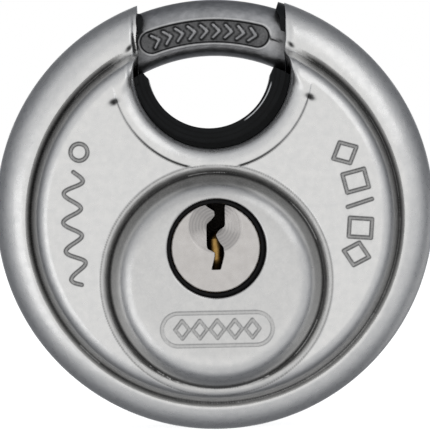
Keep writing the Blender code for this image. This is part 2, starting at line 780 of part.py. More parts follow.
def involute_half_angle(radius, pitch_r, half_pitch_angle):
    """Half the angle that a tooth takes up at this radius."""

    def spread(pressure):
        return math.tan(pressure) - pressure

    base_r = pitch_r * math.cos(PRESSURE_ANGLE)
    pressure = math.acos(min(1.0, base_r / radius))
    return half_pitch_angle + spread(PRESSURE_ANGLE) - spread(pressure)


def tooth_flank(teeth, backlash, low_r, high_r, points=4):
    """(radius, half angle in degrees) up one flank of a tooth, thinned by the backlash."""
    pitch_r = MODULE * teeth / 2
    half_pitch_angle = math.pi / (2 * teeth) - backlash / pitch_r
    flank = []
    for i in range(points):
        radius = low_r + (high_r - low_r) * i / (points - 1)
        flank.append((radius, math.degrees(involute_half_angle(radius, pitch_r, half_pitch_angle))))
    return flank


def make_pinion():
    pitch_r = MODULE * PINION_TEETH / 2
    low_r, high_r = pitch_r - 1.1 * MODULE, pitch_r + 0.85 * MODULE
    flank = tooth_flank(PINION_TEETH, BACKLASH, low_r, high_r)
    outline = []
    for tooth in range(PINION_TEETH):
        centre = 180 + 360 * tooth / PINION_TEETH
        outline += [polar(radius, centre - half) for radius, half in flank]
        outline += [polar(radius, centre + half) for radius, half in reversed(flank)]
    outline = [(x, PLUG_Z + z) for x, z in outline]
    bore = circle(TAIL_R + BORE_CLEARANCE, 24, 0, PLUG_Z)
    hole = [(min(x, TAIL_FLAT_X + BORE_CLEARANCE), z) for x, z in bore]
    upright_plate("drive_pinion", [outline, hole], GEAR_FRONT_Y, GEAR_BACK_Y, BRASS)


def make_sector():
    """An internal gear sector about the disc's axis, with an arm out to the shackle's lug."""
    pitch_r = MODULE * SECTOR_TEETH / 2
    low_r, high_r = pitch_r - 0.8 * MODULE, pitch_r + 1.15 * MODULE
    flank = tooth_flank(SECTOR_TEETH, -BACKLASH, low_r, high_r)  # the space between teeth
    outline = arc(high_r + 0.3 * MM, LUG_START, SECTOR_START, 3)
    outline.append(polar(low_r, SECTOR_START))
    step = 360 / SECTOR_TEETH
    for i in range(round((LAST_SPACE - FIRST_SPACE) / step) + 1):
        space = FIRST_SPACE + step * i
        outline += [polar(radius, space - half) for radius, half in flank]
        outline += [polar(radius, space + half) for radius, half in reversed(flank)]
    outline.append(polar(low_r, SECTOR_END))
    outline += arc(SECTOR_R, SECTOR_END, HEEL_ANGLE, 14)
    outline += arc(ARM_R, HEEL_ANGLE, LUG_START, 4)
    sector = upright_plate("drive_sector", [outline], GEAR_FRONT_Y, GEAR_BACK_Y, SPRING_STEEL)
    boolean(sector, "DIFFERENCE", *stud_cutters("sector"))


def make_washer():
    """Holds the plug in its housing from behind."""
    outlines = [circle(WASHER_R, 32, 0, PLUG_Z), circle(TAIL_R + BORE_CLEARANCE, 24, 0, PLUG_Z)]
    upright_plate("retaining_washer", outlines, WASHER_FRONT_Y, WASHER_BACK_Y, SPRING_STEEL)


make_shell("front_shell", 0.0, True)
make_shell("rear_shell", math.pi, False)
make_shackle()
make_studs()
make_frame()
make_liner()
make_housing()
make_plug()
make_pin_stacks()
make_seal()
make_pinion()
make_sector()
make_washer()
make_screws()
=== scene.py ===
"""The looks of the disc padlock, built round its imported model.

Shapes are worked out in millimetres in the model's own frame: x to the right, z up, and a
height out from the joint plane, which is -Y on the front shell and +Y on the rear one.
Angles round the disc are clockwise from the top as seen from the front.
"""

import json
import math

import bmesh
import bpy
import numpy as np
from mathutils import Matrix, Vector
from mathutils.geometry import delaunay_2d_cdt
from mathutils.kdtree import KDTree


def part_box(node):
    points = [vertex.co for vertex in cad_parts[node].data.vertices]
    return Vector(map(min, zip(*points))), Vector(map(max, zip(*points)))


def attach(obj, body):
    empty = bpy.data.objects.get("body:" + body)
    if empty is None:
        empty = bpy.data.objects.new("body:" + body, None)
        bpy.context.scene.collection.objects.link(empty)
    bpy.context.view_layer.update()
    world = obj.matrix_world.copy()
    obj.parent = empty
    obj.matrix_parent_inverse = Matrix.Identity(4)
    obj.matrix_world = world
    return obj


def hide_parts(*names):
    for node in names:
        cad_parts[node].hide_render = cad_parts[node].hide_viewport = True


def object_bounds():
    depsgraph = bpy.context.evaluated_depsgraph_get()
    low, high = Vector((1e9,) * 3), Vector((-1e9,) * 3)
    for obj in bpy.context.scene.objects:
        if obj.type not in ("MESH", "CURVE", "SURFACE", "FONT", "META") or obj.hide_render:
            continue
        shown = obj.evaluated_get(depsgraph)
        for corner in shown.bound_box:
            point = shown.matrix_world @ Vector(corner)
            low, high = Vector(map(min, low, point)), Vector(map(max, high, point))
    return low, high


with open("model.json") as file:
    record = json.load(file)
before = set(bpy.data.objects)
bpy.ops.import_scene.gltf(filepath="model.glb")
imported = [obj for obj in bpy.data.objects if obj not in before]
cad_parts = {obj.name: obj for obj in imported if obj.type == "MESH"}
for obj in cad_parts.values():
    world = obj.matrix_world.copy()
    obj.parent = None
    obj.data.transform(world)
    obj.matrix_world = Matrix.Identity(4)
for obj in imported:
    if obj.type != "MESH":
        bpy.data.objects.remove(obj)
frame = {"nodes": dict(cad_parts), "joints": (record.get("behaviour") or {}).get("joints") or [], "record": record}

CAD_BOX = [list(corner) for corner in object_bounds()]
MM = 0.001
JOINTS = {joint["name"]: joint for joint in frame["joints"]}


def box_mm(node):
    low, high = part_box(node)
    return np.array(low) / MM, np.array(high) / MM


# The case
SHELL_LOW, SHELL_HIGH = box_mm("front_shell")
DISC_R = SHELL_HIGH[0]
BOSS_H = -SHELL_LOW[1]
SEAM = 0.006
SHEET = 0.8
RIM_R, RIM_H = 20.8, 4.9
DECK_Z, DECK_R, DECK_H = -0.85, 20.68, 8.4
BOSS_Z, BOSS_R = -7.75, 11.8
GROOVE_R, GROOVE_DEPTH = DECK_R + 0.2, 0.5  # at the foot of the deck
MOAT_R, MOAT_DEPTH = 13.0, 0.8  # round the foot of the boss
DECK_WALL, BOSS_WALL = math.radians(74), math.radians(64)
SHOULDER_R = 2.2
THROAT_Z, THROAT_R, GAP_X = 15.9, 8.9, 8.4
BEAD_W = 2.25  # from the throat's edge to the crease round it
FLARE_R, LIP_R = 2.1, 0.2
CORNER_Z, CORNER_BULGE = 17.9, 0.42  # where the deck's corners bulge into the gap
LEFT_FOLD, RIGHT_FOLD = 0.55, 0.2  # how far the lip is folded down along the gap
SHEET_WAVE = 0.013
LINE_DEPTH = 0.07
RECESS_R, RECESS_DEPTH = 18.9, 0.16  # the deck's flat, a little lower than its edge
KEYHOLE_R, KEYHOLE_EDGE = 5.5, 0.25
PLUG_Z = JOINTS["plug_turn"]["pos_m"][2] / MM
KEYHOLE = (0.09, PLUG_Z - 0.04)  # its centre, a little off the plug's axis

# The liner
LINER_X, LINER_Z, LINER_R, LINER_H = -0.35, 16.35, 7.0, 4.05
LINER_SEAT_R = box_mm("throat_liner")[1][0] + 0.16
LINER_LIMIT_R = 17.6  # just short of the shackle
# A painted highlight: a thin light line on the liner's face beside its inner edge, where a glint falls.
GLINT_R = LINER_R + 0.3
GLINT_ANGLE = math.radians(-36.5)  # the middle of the liner's painted highlight line, from +X
GLINT_HALF_ANGLE = math.radians(22)
GLINT_W = 0.09
LEDGES = ((1.7, 4.0, 0.3), (1.05, 1.2, 0.16), (0.5, 0.68, 0.16))  # from and to past LINER_R, depth
COLLAR_GAP, CHANNEL_GAP = 0.12, 0.06  # to the shells, and to the shackle

# The shackle
SHACKLE_R, SHACKLE_HALF_W, SHACKLE_HALF_H = 20.84, 3.2, 3.85
TOE_ANGLE, HEEL_ANGLE = -38.0, 84.0
INNER_POWER = 0.7
PANEL_START, PANEL_END = -23.2, 18.7
PANEL_R, PANEL_HALF_W, PANEL_DEPTH = 20.35, 1.33, 0.32
LUG_START, LUG_END = 70.0, 83.5
LUG_R, LUG_OUTER_R = 15.7, 18.6
LUG_LOW_Y, LUG_HIGH_Y = 1.0, 4.4
STUD_CIRCLE_R, STUD_HOLE_R, STUD_ANGLES = 16.85, 0.96, (73.1, 80.9)

# The plug
PLUG_LOW, PLUG_HIGH = box_mm("plug")
PLUG_R = PLUG_HIGH[0]
PLUG_FACE = -PLUG_LOW[1]
PLUG_BACK = 4.1
TAIL_R = 2.2
PIN_HOLE_R, PIN_HOLE_TOP = 1.16, 2.15
SCREW_HOLE_R, SCREW_HOLE_DEPTH = 0.85, 2.6
GUIDE_Z, GUIDE_R = 2.42, 3.05  # the countersink that leads the key in, above the plug's axis
GUIDE_ANGLE = math.radians(27)


# ---- materials ----


def feed(tree, socket, value):
    """Puts a plain value or another node's output into a socket."""
    if isinstance(value, bpy.types.NodeSocket):
        tree.links.new(value, socket)
    else:
        socket.default_value = value


def add_node(tree, kind, **settings):
    """Adds a node. Each setting goes into its input of that name, or else its property."""
    node = tree.nodes.new(kind)
    for key, value in settings.items():
        if key in node.inputs:
            feed(tree, node.inputs[key], value)
        else:
            setattr(node, key, value)
    return node


def new_material(name):
    material = bpy.data.materials.new(name)
    material.use_nodes = True
    return material


def tree_of(material):
    return material.node_tree, material.node_tree.nodes["Principled BSDF"]


def calculate(tree, operation, *values, kind="ShaderNodeMath"):
    """The result of a Math or Vector Math node on plain values and other nodes' outputs."""
    made = add_node(tree, kind, operation=operation)
    for value, socket in zip(values, made.inputs):
        feed(tree, socket, value)
    return made.outputs["Value" if operation in ("LENGTH", "DOT_PRODUCT") else 0]


def calculate_vector(tree, operation, *values):
    return calculate(tree, operation, *values, kind="ShaderNodeVectorMath")


def place_of(tree):
    """Where a point is, in the object's own coordinates."""
    return add_node(tree, "ShaderNodeTexCoord").outputs["Object"]


def fade(tree, value, none, full):
    """0 where the value is none, 1 where it is full, and even between them."""
    made = add_node(tree, "ShaderNodeMapRange", **{"Value": value, "From Min": none, "From Max": full})
    return made.outputs[0]


def fade_inwards(tree, start_mm, end_mm):
    """Fades in from one height out from the joint plane to a lower one."""
    split = add_node(tree, "ShaderNodeSeparateXYZ", Vector=place_of(tree))
    return fade(tree, split.outputs["Y"], -start_mm * MM, -end_mm * MM)


def noise_at(tree, place, scale, detail=3.0, rough=0.6):
    made = add_node(tree, "ShaderNodeTexNoise", Vector=place, Scale=scale, Detail=detail, Roughness=rough)
    return made.outputs["Fac"]


def noise(tree, size_mm, detail=3.0, rough=0.55, upright=1.0):
    """Noise whose features are about this size, in the object's own coordinates, and that
    many times as tall as wide."""
    squeezed = calculate_vector(tree, "MULTIPLY", place_of(tree), (1, 1, 1 / upright))
    return noise_at(tree, squeezed, 1 / (size_mm * MM), detail, rough)


def ramp(tree, source, low, high, start=0.3, end=0.7):
    """Maps a value to a colour or a grey between low and high."""
    made = add_node(tree, "ShaderNodeValToRGB", Fac=source)
    for element, value, position in zip(made.color_ramp.elements, (low, high), (start, end)):
        colour = (value,) * 3 if isinstance(value, float) else value
        element.color = (*colour, 1.0)
        element.position = position
    return made.outputs["Color"]


def bump(tree, layers, shader):
    """Stacks bumps, each a (value, height in mm), on what a shader's normal has already."""
    normal = shader.inputs["Normal"]
    for value, height in layers:
        made = add_node(tree, "ShaderNodeBump", Height=value, Strength=1.0, Distance=height * MM)
        if normal.is_linked:
            tree.links.new(normal.links[0].from_socket, made.inputs["Normal"])
        tree.links.new(made.outputs["Normal"], normal)


def mix(tree, factor, low, high):
    made = add_node(tree, "ShaderNodeMix", data_type="RGBA", Factor=factor)
    for socket, value in zip((made.inputs[6], made.inputs[7]), (low, high)):
        feed(tree, socket, (*value, 1.0) if isinstance(value, tuple) else value)
    return made.outputs[2]


def tint(material, factor, colour):
    """Mixes a colour over the one that a material has."""
    tree, shader = tree_of(material)
    base = shader.inputs["Base Color"]
    tree.links.new(mix(tree, factor, base.links[0].from_socket, colour), base)


DIRT_AND_SHADE_TONE = 0.03  # how bright full dirt and painted shade are beside clean metal
# The colour of the painted highlight on the shackle's raised rim.
HIGHLIGHT_COLOUR = (0.8, 0.8, 0.79)
# Painted shade down the keyway, over the plug and the pins.
SLOT_SHADE = (0.02, 0.018, 0.016)
DULL_NICKEL = (0.3, 0.285, 0.275)
# The colour of the painted highlight on the liner.
GLINT_COLOUR = (0.42, 0.43, 0.44)


def metal(name, dark, light, roughness, grain_mm, grain_height, reads_dirt_and_shade=False, brushed=0):
    """A metal with a mottled tone and a fine grain. It can take its mesh's dirt and painted shade,
    which darken it, and its painted highlight, which lightens it; brushed metal has upright marks
    that many times as tall as wide."""
    material = new_material(name)
    tree, shader = tree_of(material)
    shader.inputs["Metallic"].default_value = 1.0
    tone = ramp(tree, noise(tree, 0.9, 4.0), dark, light)
    gloss = ramp(tree, noise(tree, 0.7), *roughness)
    if reads_dirt_and_shade:
        # The mesh's dirt and painted shade darken the metal, and its painted highlight lightens it.
        dirt_and_shade = add_node(tree, "ShaderNodeAttribute", attribute_name="dirt_and_shade").outputs["Fac"]
        edge_highlight = add_node(tree, "ShaderNodeAttribute", attribute_name="edge_highlight").outputs["Fac"]
        speckle = ramp(tree, noise(tree, 0.25), 0.7, 1.0)
        darkening = calculate(tree, "MULTIPLY", dirt_and_shade, speckle)
        clean = calculate(tree, "POWER", DIRT_AND_SHADE_TONE, darkening)
        tone = mix(tree, edge_highlight, tone, HIGHLIGHT_COLOUR)
        tone = mix(tree, clean, (0.0, 0.0, 0.0), tone)
        gloss = mix(tree, darkening, gloss, (0.5, 0.5, 0.5))
    tree.links.new(tone, shader.inputs["Base Color"])
    tree.links.new(gloss, shader.inputs["Roughness"])
    layers = [(noise(tree, grain_mm * 4, 2.0), grain_height * 2)]
    if brushed:
        layers.append((noise(tree, 0.16, 3.0, 0.6, brushed), 0.006))
    layers.append((noise(tree, grain_mm), grain_height))
    bump(tree, layers, shader)
    return material


def darker_inside(material, start_mm, depth_mm):
    """Turns a metal dark from a height inwards: painted shade for the shadow down in a slot."""
    tree = material.node_tree
    tint(material, fade_inwards(tree, start_mm, start_mm - depth_mm), SLOT_SHADE)


def turned_guide(material):
    """Gives the plug's countersink its fine turning rings and a duller tone."""
    tree, shader = tree_of(material)
    depth = fade_inwards(tree, PLUG_FACE - 0.02, PLUG_FACE - 0.1)
    shifted = calculate_vector(tree, "SUBTRACT", place_of(tree), (0, 0, (PLUG_Z + GUIDE_Z) * MM))
    rings = add_node(tree, "ShaderNodeTexWave", wave_type="RINGS", rings_direction="Y", Vector=shifted)
    rings.inputs["Scale"].default_value = 900.0
    rings.inputs["Distortion"].default_value = 1.5
    masked = calculate(tree, "MULTIPLY", rings.outputs["Fac"], depth)
    bump(tree, [(masked, 0.016)], shader)
    tint(material, calculate(tree, "MULTIPLY", depth, 0.55), DULL_NICKEL)


def painted_edge_glint(material):
    """A painted highlight: a thin whitened line beside the inner edge of the liner, at its lower right, that
    stands for a glint of light off that edge.
    """
    tree = material.node_tree
    centre = (LINER_X * MM, 0, LINER_Z * MM)
    shifted = calculate_vector(tree, "SUBTRACT", place_of(tree), centre)
    flat = calculate_vector(tree, "MULTIPLY", shifted, (1, 0, 1))
    reach = calculate_vector(tree, "LENGTH", flat)
    middle = (math.cos(GLINT_ANGLE), 0, math.sin(GLINT_ANGLE))
    towards = calculate_vector(tree, "DOT_PRODUCT", flat, middle)
    along = calculate(tree, "DIVIDE", towards, reach)
    across = calculate(tree, "ABSOLUTE", calculate(tree, "SUBTRACT", reach, GLINT_R * MM))
    # Noise that is long along the edge and thin across it
    curve = add_node(tree, "ShaderNodeCombineXYZ", X=calculate(tree, "MULTIPLY", along, 5.0))
    feed(tree, curve.inputs["Y"], calculate(tree, "MULTIPLY", reach, 9.0 / MM))
    factor = ramp(tree, noise_at(tree, curve.outputs[0], 1.0), 0.25, 1.0, 0.36, 0.52)
    half = math.cos(GLINT_HALF_ANGLE)
    for value, none, full in ((along, half, half + 0.02), (across, GLINT_W * MM, 0.4 * GLINT_W * MM)):
        factor = calculate(tree, "MULTIPLY", factor, fade(tree, value, none, full))
    tint(material, factor, GLINT_COLOUR)


def plastic(name, colour, roughness, grain_mm, grain_height, specular):
    material = new_material(name)
    tree, shader = tree_of(material)
    shader.inputs["Specular IOR Level"].default_value = specular
    paler = tuple(channel * 1.8 for channel in colour)
    tree.links.new(ramp(tree, noise(tree, 1.5), colour, paler), shader.inputs["Base Color"])
    tree.links.new(ramp(tree, noise(tree, 0.9), *roughness), shader.inputs["Roughness"])
    bump(tree, [(noise(tree, grain_mm, 2.0), grain_height)], shader)
    return material


STAINLESS = metal(
    "stainless", (0.645, 0.645, 0.64), (0.705, 0.70, 0.69), (0.25, 0.36), 0.14, 0.006, True, 10
)
# The shackle's steel is darker than the shell's: partly its own darker finish, partly painted shade for being set
# back between the shells.
SHACKLE_STEEL = metal(
    "hardened_steel", (0.29, 0.293, 0.3), (0.42, 0.42, 0.428), (0.3, 0.44), 0.2, 0.012, True
)
NICKEL = metal("nickel_plate", (0.50, 0.48, 0.465), (0.56, 0.54, 0.525), (0.24, 0.34), 0.12, 0.002)
BRASS = metal("brass", (0.26, 0.15, 0.045), (0.42, 0.26, 0.08), (0.2, 0.32), 0.1, 0.004, True)
# Painted shade on the pins, darker the deeper they lie in the keyway.
darker_inside(BRASS, PLUG_FACE - 1.7, 3.5)
turned_guide(NICKEL)
# Painted shade down in the keyway, from partway down the countersink.
darker_inside(NICKEL, PLUG_FACE - GUIDE_R * math.tan(GUIDE_ANGLE) * 0.6, 0.8)
ZINC = metal("zinc_casting", (0.30, 0.31, 0.32), (0.42, 0.43, 0.44), (0.45, 0.6), 0.35, 0.02)
HARDWARE = metal("hardware_steel", (0.42, 0.42, 0.42), (0.55, 0.55, 0.55), (0.25, 0.38), 0.1, 0.003)
LINER_BLACK = plastic("liner_plastic", (0.003, 0.0035, 0.004), (0.16, 0.28), 0.5, 0.01, 0.11)
# Paints a highlight on the liner, beside its inner edge.
painted_edge_glint(LINER_BLACK)
SEAL_BLACK = plastic("seal_rubber", (0.003, 0.003, 0.0033), (0.45, 0.6), 0.25, 0.01, 0.1)

SLOT_MATERIALS = {
    "stainless_shell": STAINLESS,
    "shackle_steel": SHACKLE_STEEL,
    "liner_plastic": LINER_BLACK,
    "seal_rubber": SEAL_BLACK,
    "plug_nickel": NICKEL,
    "brass": BRASS,
    "zinc_casting": ZINC,
    "hardware_steel": HARDWARE,
}


# ---- making pieces ----


def new_mesh(name, points_mm, faces):
    """A mesh in the model's frame, of (x, z, height towards the front) points."""
    x, z, height = np.asarray(points_mm, float).T
    mesh = bpy.data.meshes.new(name)
    mesh.from_pydata((np.stack([x, -height, z], axis=1) * MM).tolist(), [], faces)
    return mesh


def skinned(name, rows):
    """A closed skin over rows of (x, z, height) points, each row a closed outline."""
    rows = np.asarray(rows)
    index = np.arange(rows.shape[0] * rows.shape[1]).reshape(rows.shape[:2])
    beside = np.roll(index, -1, axis=1)
    quads = np.stack([index[:-1], beside[:-1], beside[1:], index[1:]], axis=2).reshape(-1, 4)
    faces = quads.tolist() + [index[0].tolist(), index[-1][::-1].tolist()]
    return new_mesh(name, rows.reshape(-1, 3), faces)


def smooth_mesh(mesh, sharp):
    mesh.shade_smooth()
    mesh.set_sharp_from_angle(angle=math.radians(sharp))
    return mesh


def finish_mesh(mesh, merge_mm=0.0, sharp=60):
    shape = bmesh.new()
    shape.from_mesh(mesh)
    if merge_mm:
        bmesh.ops.remove_doubles(shape, verts=shape.verts, dist=merge_mm * MM)
    bmesh.ops.recalc_face_normals(shape, faces=shape.faces)
    shape.to_mesh(mesh)
    shape.free()
    return smooth_mesh(mesh, sharp)


def add_attribute(mesh, name, values):
    layer = mesh.attributes.new(name, "FLOAT", "POINT")
    layer.data.foreach_set("value", values.ravel().astype(np.float32))


def add_object(name, data):
    obj = bpy.data.objects.new(name, data)
    bpy.context.scene.collection.objects.link(obj)
    return obj


def add_piece(name, mesh, body, slot, *nodes):
    """Puts a piece in the scene, on its body and in place of its CAD nodes."""
    mesh.materials.clear()
    mesh.materials.append(SLOT_MATERIALS[slot])
    piece = add_object(name, mesh)
    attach(piece, body)
    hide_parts(*nodes)


def smoothstep(low, high, value):
    share = np.clip((value - low) / (high - low), 0.0, 1.0)
    return share * share * (3 - 2 * share)


def bell(value, middle, width):
    """1 at the middle, falling away smoothly to both sides."""
    return np.exp(-(((value - middle) / width) ** 2))


def polar(radius, degrees):
    angle = np.radians(degrees)
    return radius * np.sin(angle), radius * np.cos(angle)


def circle(radius, x=0.0, z=0.0, count=128, shift=0.0):
    turns = 2 * np.pi * (np.arange(count) + shift) / count
    return np.stack([x + radius * np.cos(turns), z + radius * np.sin(turns)], axis=1)


# ---- the marks on the front: plain ornament only ----

LOZENGE = np.array([(-1, 0), (0, -1), (1, 0), (0, 1), (-1, 0)])
SQUARE = np.array([(-1, -1), (1, -1), (1, 1), (-1, 1), (-1, -1)])


def capsule(x, z, half_length, half_width):
    """A closed outline with two straight sides and two round ends."""
    turns = np.radians(np.arange(-90, 91, 7.5))
    right = np.stack([half_length - half_width + half_width * np.cos(turns), half_width * np.sin(turns)], 1)
    outline = np.concatenate([right, -right])
    return np.concatenate([outline, outline[:1]]) + (x, z)


def wave_mark():
    """A running wave down the left of the deck, on a wide arc, with a small ring above it."""
    centre_x, centre_z, radius = 14.0, -0.5, 30.0
    reach, wave_length = 7.5, 3.15
    along = np.linspace(-reach, 5.2, 121)
    out = radius + np.sin(2 * np.pi * (along + reach) / wave_length)
    angle = along / radius
    wave = np.stack([centre_x - out * np.cos(angle), centre_z + out * np.sin(angle)], axis=1)
    ring_x = centre_x - radius * math.cos(reach / radius)
    ring = circle(0.95, ring_x, centre_z + radius * math.sin(reach / radius), 40)
    return [wave, np.concatenate([ring, ring[:1]])]


def figure_marks():
    """Lozenges, squares and a bar down the right of the deck."""
    square, lozenge = SQUARE * (1.25, 1.05), LOZENGE * (1.45, 1.3)
    bar = np.array([(-1.4, -0.3), (1.4, 0.3)])
    row_r = 16.3
    marks = []
    for degrees, shape in ((25.8, lozenge), (14.0, square), (5.1, bar), (-4.7, square), (-15.1, lozenge)):
        angle = math.radians(degrees)
        turn = np.array([(math.cos(angle), math.sin(angle)), (-math.sin(angle), math.cos(angle))])
        marks.append((shape + (row_r, 0)) @ turn + (0, DECK_Z))
    return marks


def boss_marks():
    """A row of small lozenges under the keyhole, and the capsule outline round them."""
    row_z, pitch = -13.05, 1.95
    marks = [LOZENGE * (0.8, 1.0) + (pitch * i, row_z) for i in range(-2, 3)]
    return marks, [capsule(0, row_z, 6.15, 1.82)]


def stroke_distance(x, z, lines):
    """How far each point is from the nearest of the lines."""
    nearest = np.full(x.shape, 99.0)
    for line in lines:
        low, high = line.min(axis=0) - 1, line.max(axis=0) + 1
        near = np.flatnonzero((x > low[0]) & (x < high[0]) & (z > low[1]) & (z < high[1]))
        if not len(near):
            continue
        points = np.stack([x[near], z[near]], axis=1)
        best = nearest[near]
        for start, end in zip(line[:-1], line[1:]):
            along = end - start
            share = np.clip(((points - start) @ along) / (along @ along), 0, 1)
            best = np.minimum(best, np.hypot(*(points - start - share[:, None] * along).T))
        nearest[near] = best
    return nearest


BOSS_FIGURES, BOSS_OUTLINE = boss_marks()
DECK_MARKS = wave_mark() + figure_marks()
ENGRAVING = (  # lines, and their stroke's width, depth and darkening, which is dirt and painted shade
    (DECK_MARKS, 0.34, 0.14, 0.55),
    (BOSS_FIGURES, 0.3, 0.1, 0.34),
    (BOSS_OUTLINE, 0.36, 0.08, 0.22),
)


# ---- the shells' surface ----


def drum(distance, base_r, base_h, top_h, wall_angle):
    """Height of a drawn drum at a distance from its axis: flat top, round shoulder, wall."""
    slope = math.tan(wall_angle)
    centre_h = top_h - SHOULDER_R
    centre_r = base_r - (centre_h - base_h) / slope - SHOULDER_R / math.sin(wall_angle)
    reach = SHOULDER_R * math.sin(wall_angle)
    across = np.clip(distance - centre_r, 0, reach)
    shoulder = centre_h + np.sqrt(SHOULDER_R**2 - across**2)
    wall = base_h + (base_r - distance) * slope
    return np.where(distance - centre_r < reach, shoulder, wall)


def throat_edge(z):
    """Half the throat's width above its circle's centre: the circle, then a straight gap."""
    to_circle = np.sqrt(np.maximum(THROAT_R**2 - (z - THROAT_Z) ** 2, 0))
    return np.maximum(to_circle, GAP_X) - CORNER_BULGE * bell(z, CORNER_Z, 0.8)


def throat_distance(x, z):
    """How far a point lies outside the throat."""
    return np.where(z > THROAT_Z, np.abs(x) - throat_edge(z), np.hypot(x, z - THROAT_Z) - THROAT_R)


def fillet_drop(distance, radius):
    """How far a rounded edge has dropped, at this distance in from the edge."""
    left = np.clip(radius - distance, 0, radius)
    return radius - np.sqrt(np.maximum(radius**2 - left**2, 0))


def smooth_max(a, b, width):
    share = np.clip(0.5 + 0.5 * (a - b) / width, 0, 1)
    return b + (a - b) * share + width * share * (1 - share)


def pit(x, z, centre, length, width, degrees, depth):
    """A small dent, longer one way than the other."""
    angle = math.radians(degrees)
    dx, dz = x - centre[0], z - centre[1]
    along = dx * math.cos(angle) + dz * math.sin(angle)
    across = dz * math.cos(angle) - dx * math.sin(angle)
    return depth * np.exp(-((along / length) ** 2) - (across / width) ** 2)


PITS = (  # centre, length, width, angle and depth of the press tool's dents
    ((-11.05, 12.45), 0.42, 0.26, 20, 0.28),
    ((10.92, 12.6), 0.44, 0.26, -25, 0.28),
    ((-9.3, 18.55), 0.42, 0.17, 48, 0.13),
    ((8.98, 18.6), 0.34, 0.17, -48, 0.13),
)


def waviness(x, z):
    """The slight unevenness of pressed sheet."""
    return SHEET_WAVE * (
        np.sin(0.83 * x + 0.41 * z + 0.7)
        + np.sin(-0.37 * x + 0.92 * z + 2.1)
        + 0.7 * np.sin(1.63 * x - 0.71 * z + 4.0)
        + 0.5 * np.sin(1.1 * x + 2.3 * z + 1.2)
    )


def shell_surface(x, z, front):
    """The height of a shell's outside at each point, and how dark it is there: dirt, and painted shade in its
    grooves, creases, dents and marks.
    """
    from_centre = np.hypot(x, z)
    from_deck = np.hypot(x, z - DECK_Z)
    from_boss = np.hypot(x, z - BOSS_Z)
    from_throat = throat_distance(x, z)
    away = smoothstep(0.8, 3.0, from_throat)  # 0 beside the throat, where the groove runs out

    edge = np.clip((from_centre - RIM_R) / (DISC_R - RIM_R), 0, 1)
    rim = RIM_H * np.sqrt(np.maximum(1 - edge**2, 0))
    rim -= GROOVE_DEPTH * smoothstep(DECK_R + 0.9, DECK_R + 0.1, from_deck) * away
    deck = drum(from_deck, DECK_R, RIM_H, DECK_H, DECK_WALL)
    height = smooth_max(deck, rim, 0.1 + 0.7 * (1 - away))

    beside_bead = smoothstep(0.0, 0.16, from_throat - BEAD_W)
    beside_moat = smoothstep(0.0, 0.2, from_boss - MOAT_R)
    height -= RECESS_DEPTH * beside_bead * beside_moat * smoothstep(-0.1, 1.0, RECESS_R - from_deck)
    moat = np.clip((MOAT_R - from_boss) / (MOAT_R - BOSS_R), 0, 1.0)
    height -= LINE_DEPTH * smoothstep(0, 0.12, MOAT_R - from_boss) + MOAT_DEPTH * moat**2
    boss = drum(from_boss, BOSS_R, DECK_H, BOSS_H, BOSS_WALL)
    height = smooth_max(boss, height, 0.1)

    # The lip along the gap is folded down, more on the left, and widens to a bead below.
    on_bead = smoothstep(DECK_R - 1.0, DECK_R - 3.4, from_deck)
    fold = np.where(x < 0, LEFT_FOLD, RIGHT_FOLD) * (1 - on_bead)
    height -= fold * smoothstep(0.85, 0.25, from_throat)
    height -= fillet_drop(from_throat, LIP_R + (FLARE_R - LIP_R) * on_bead)
    height += waviness(x, z) * smoothstep(DISC_R, DISC_R - 1.5, from_centre)

    crease = bell(from_throat, BEAD_W + 0.08, 0.1) * beside_moat
    crease *= smoothstep(-0.6, 0.4, RECESS_R - from_deck) * smoothstep(12.9, 12.3, z)
    crease *= 0.4 + 0.6 * smoothstep(20.5, 16.0, from_boss + np.where(x > 0, 2.0, 0))
    line = bell(from_boss, MOAT_R, 0.08) * beside_bead * smoothstep(21, 20, from_deck)
    height -= LINE_DEPTH * np.maximum(crease, line)
    groove = np.maximum(0.75 * bell(from_deck, GROOVE_R, 0.2), 0.25 * bell(from_deck, DECK_R - 0.3, 0.5))
    groove *= 0.7 + 0.3 * smoothstep(-0.65, -0.1, z / np.maximum(from_centre, 1.0))  # less dark below
    above = (z - BOSS_Z) / np.maximum(from_boss, 1.0)  # 1 at the top of the boss, -1 at the bottom
    on_wall = smoothstep(10.7, 11.2, from_boss) * smoothstep(12.2, 11.8, from_boss)
    # Dirt and painted shade: in the grooves and creases, round the boss and in the dents; the boss's wall and face
    # get darker towards its top.
    dirt_and_shade = np.maximum.reduce([
        groove * (0.15 + 0.85 * away) * smoothstep(DISC_R - 0.8, DISC_R - 2, from_centre),
        0.8 * bell(from_boss, BOSS_R + 0.16, 0.19),
        (0.17 + 0.2 * above) * on_wall,
        0.08 * smoothstep(13.1, 12.9, from_boss) * smoothstep(10.9, 11.3, from_boss),
        (0.045 + 0.05 * above * smoothstep(7.5, 10, from_boss)) * (from_boss < 11),
        0.8 * crease,
        0.3 * line,
    ])
    for centre, length, width, degrees, depth in PITS:
        dent = pit(x, z, centre, length, width, degrees, depth)
        height -= dent
        dirt_and_shade = np.maximum(dirt_and_shade, dent / depth)
    if front:
        height, dirt_and_shade = engrave(x, z, height, dirt_and_shade)
        height -= fillet_drop(keyhole_distance(x, z), KEYHOLE_EDGE)
    return np.minimum(np.maximum(height, SEAM), BOSS_H), dirt_and_shade


def keyhole_distance(x, z):
    """How far a point lies outside the keyhole."""
    return np.hypot(x - KEYHOLE[0], z - KEYHOLE[1]) - KEYHOLE_R


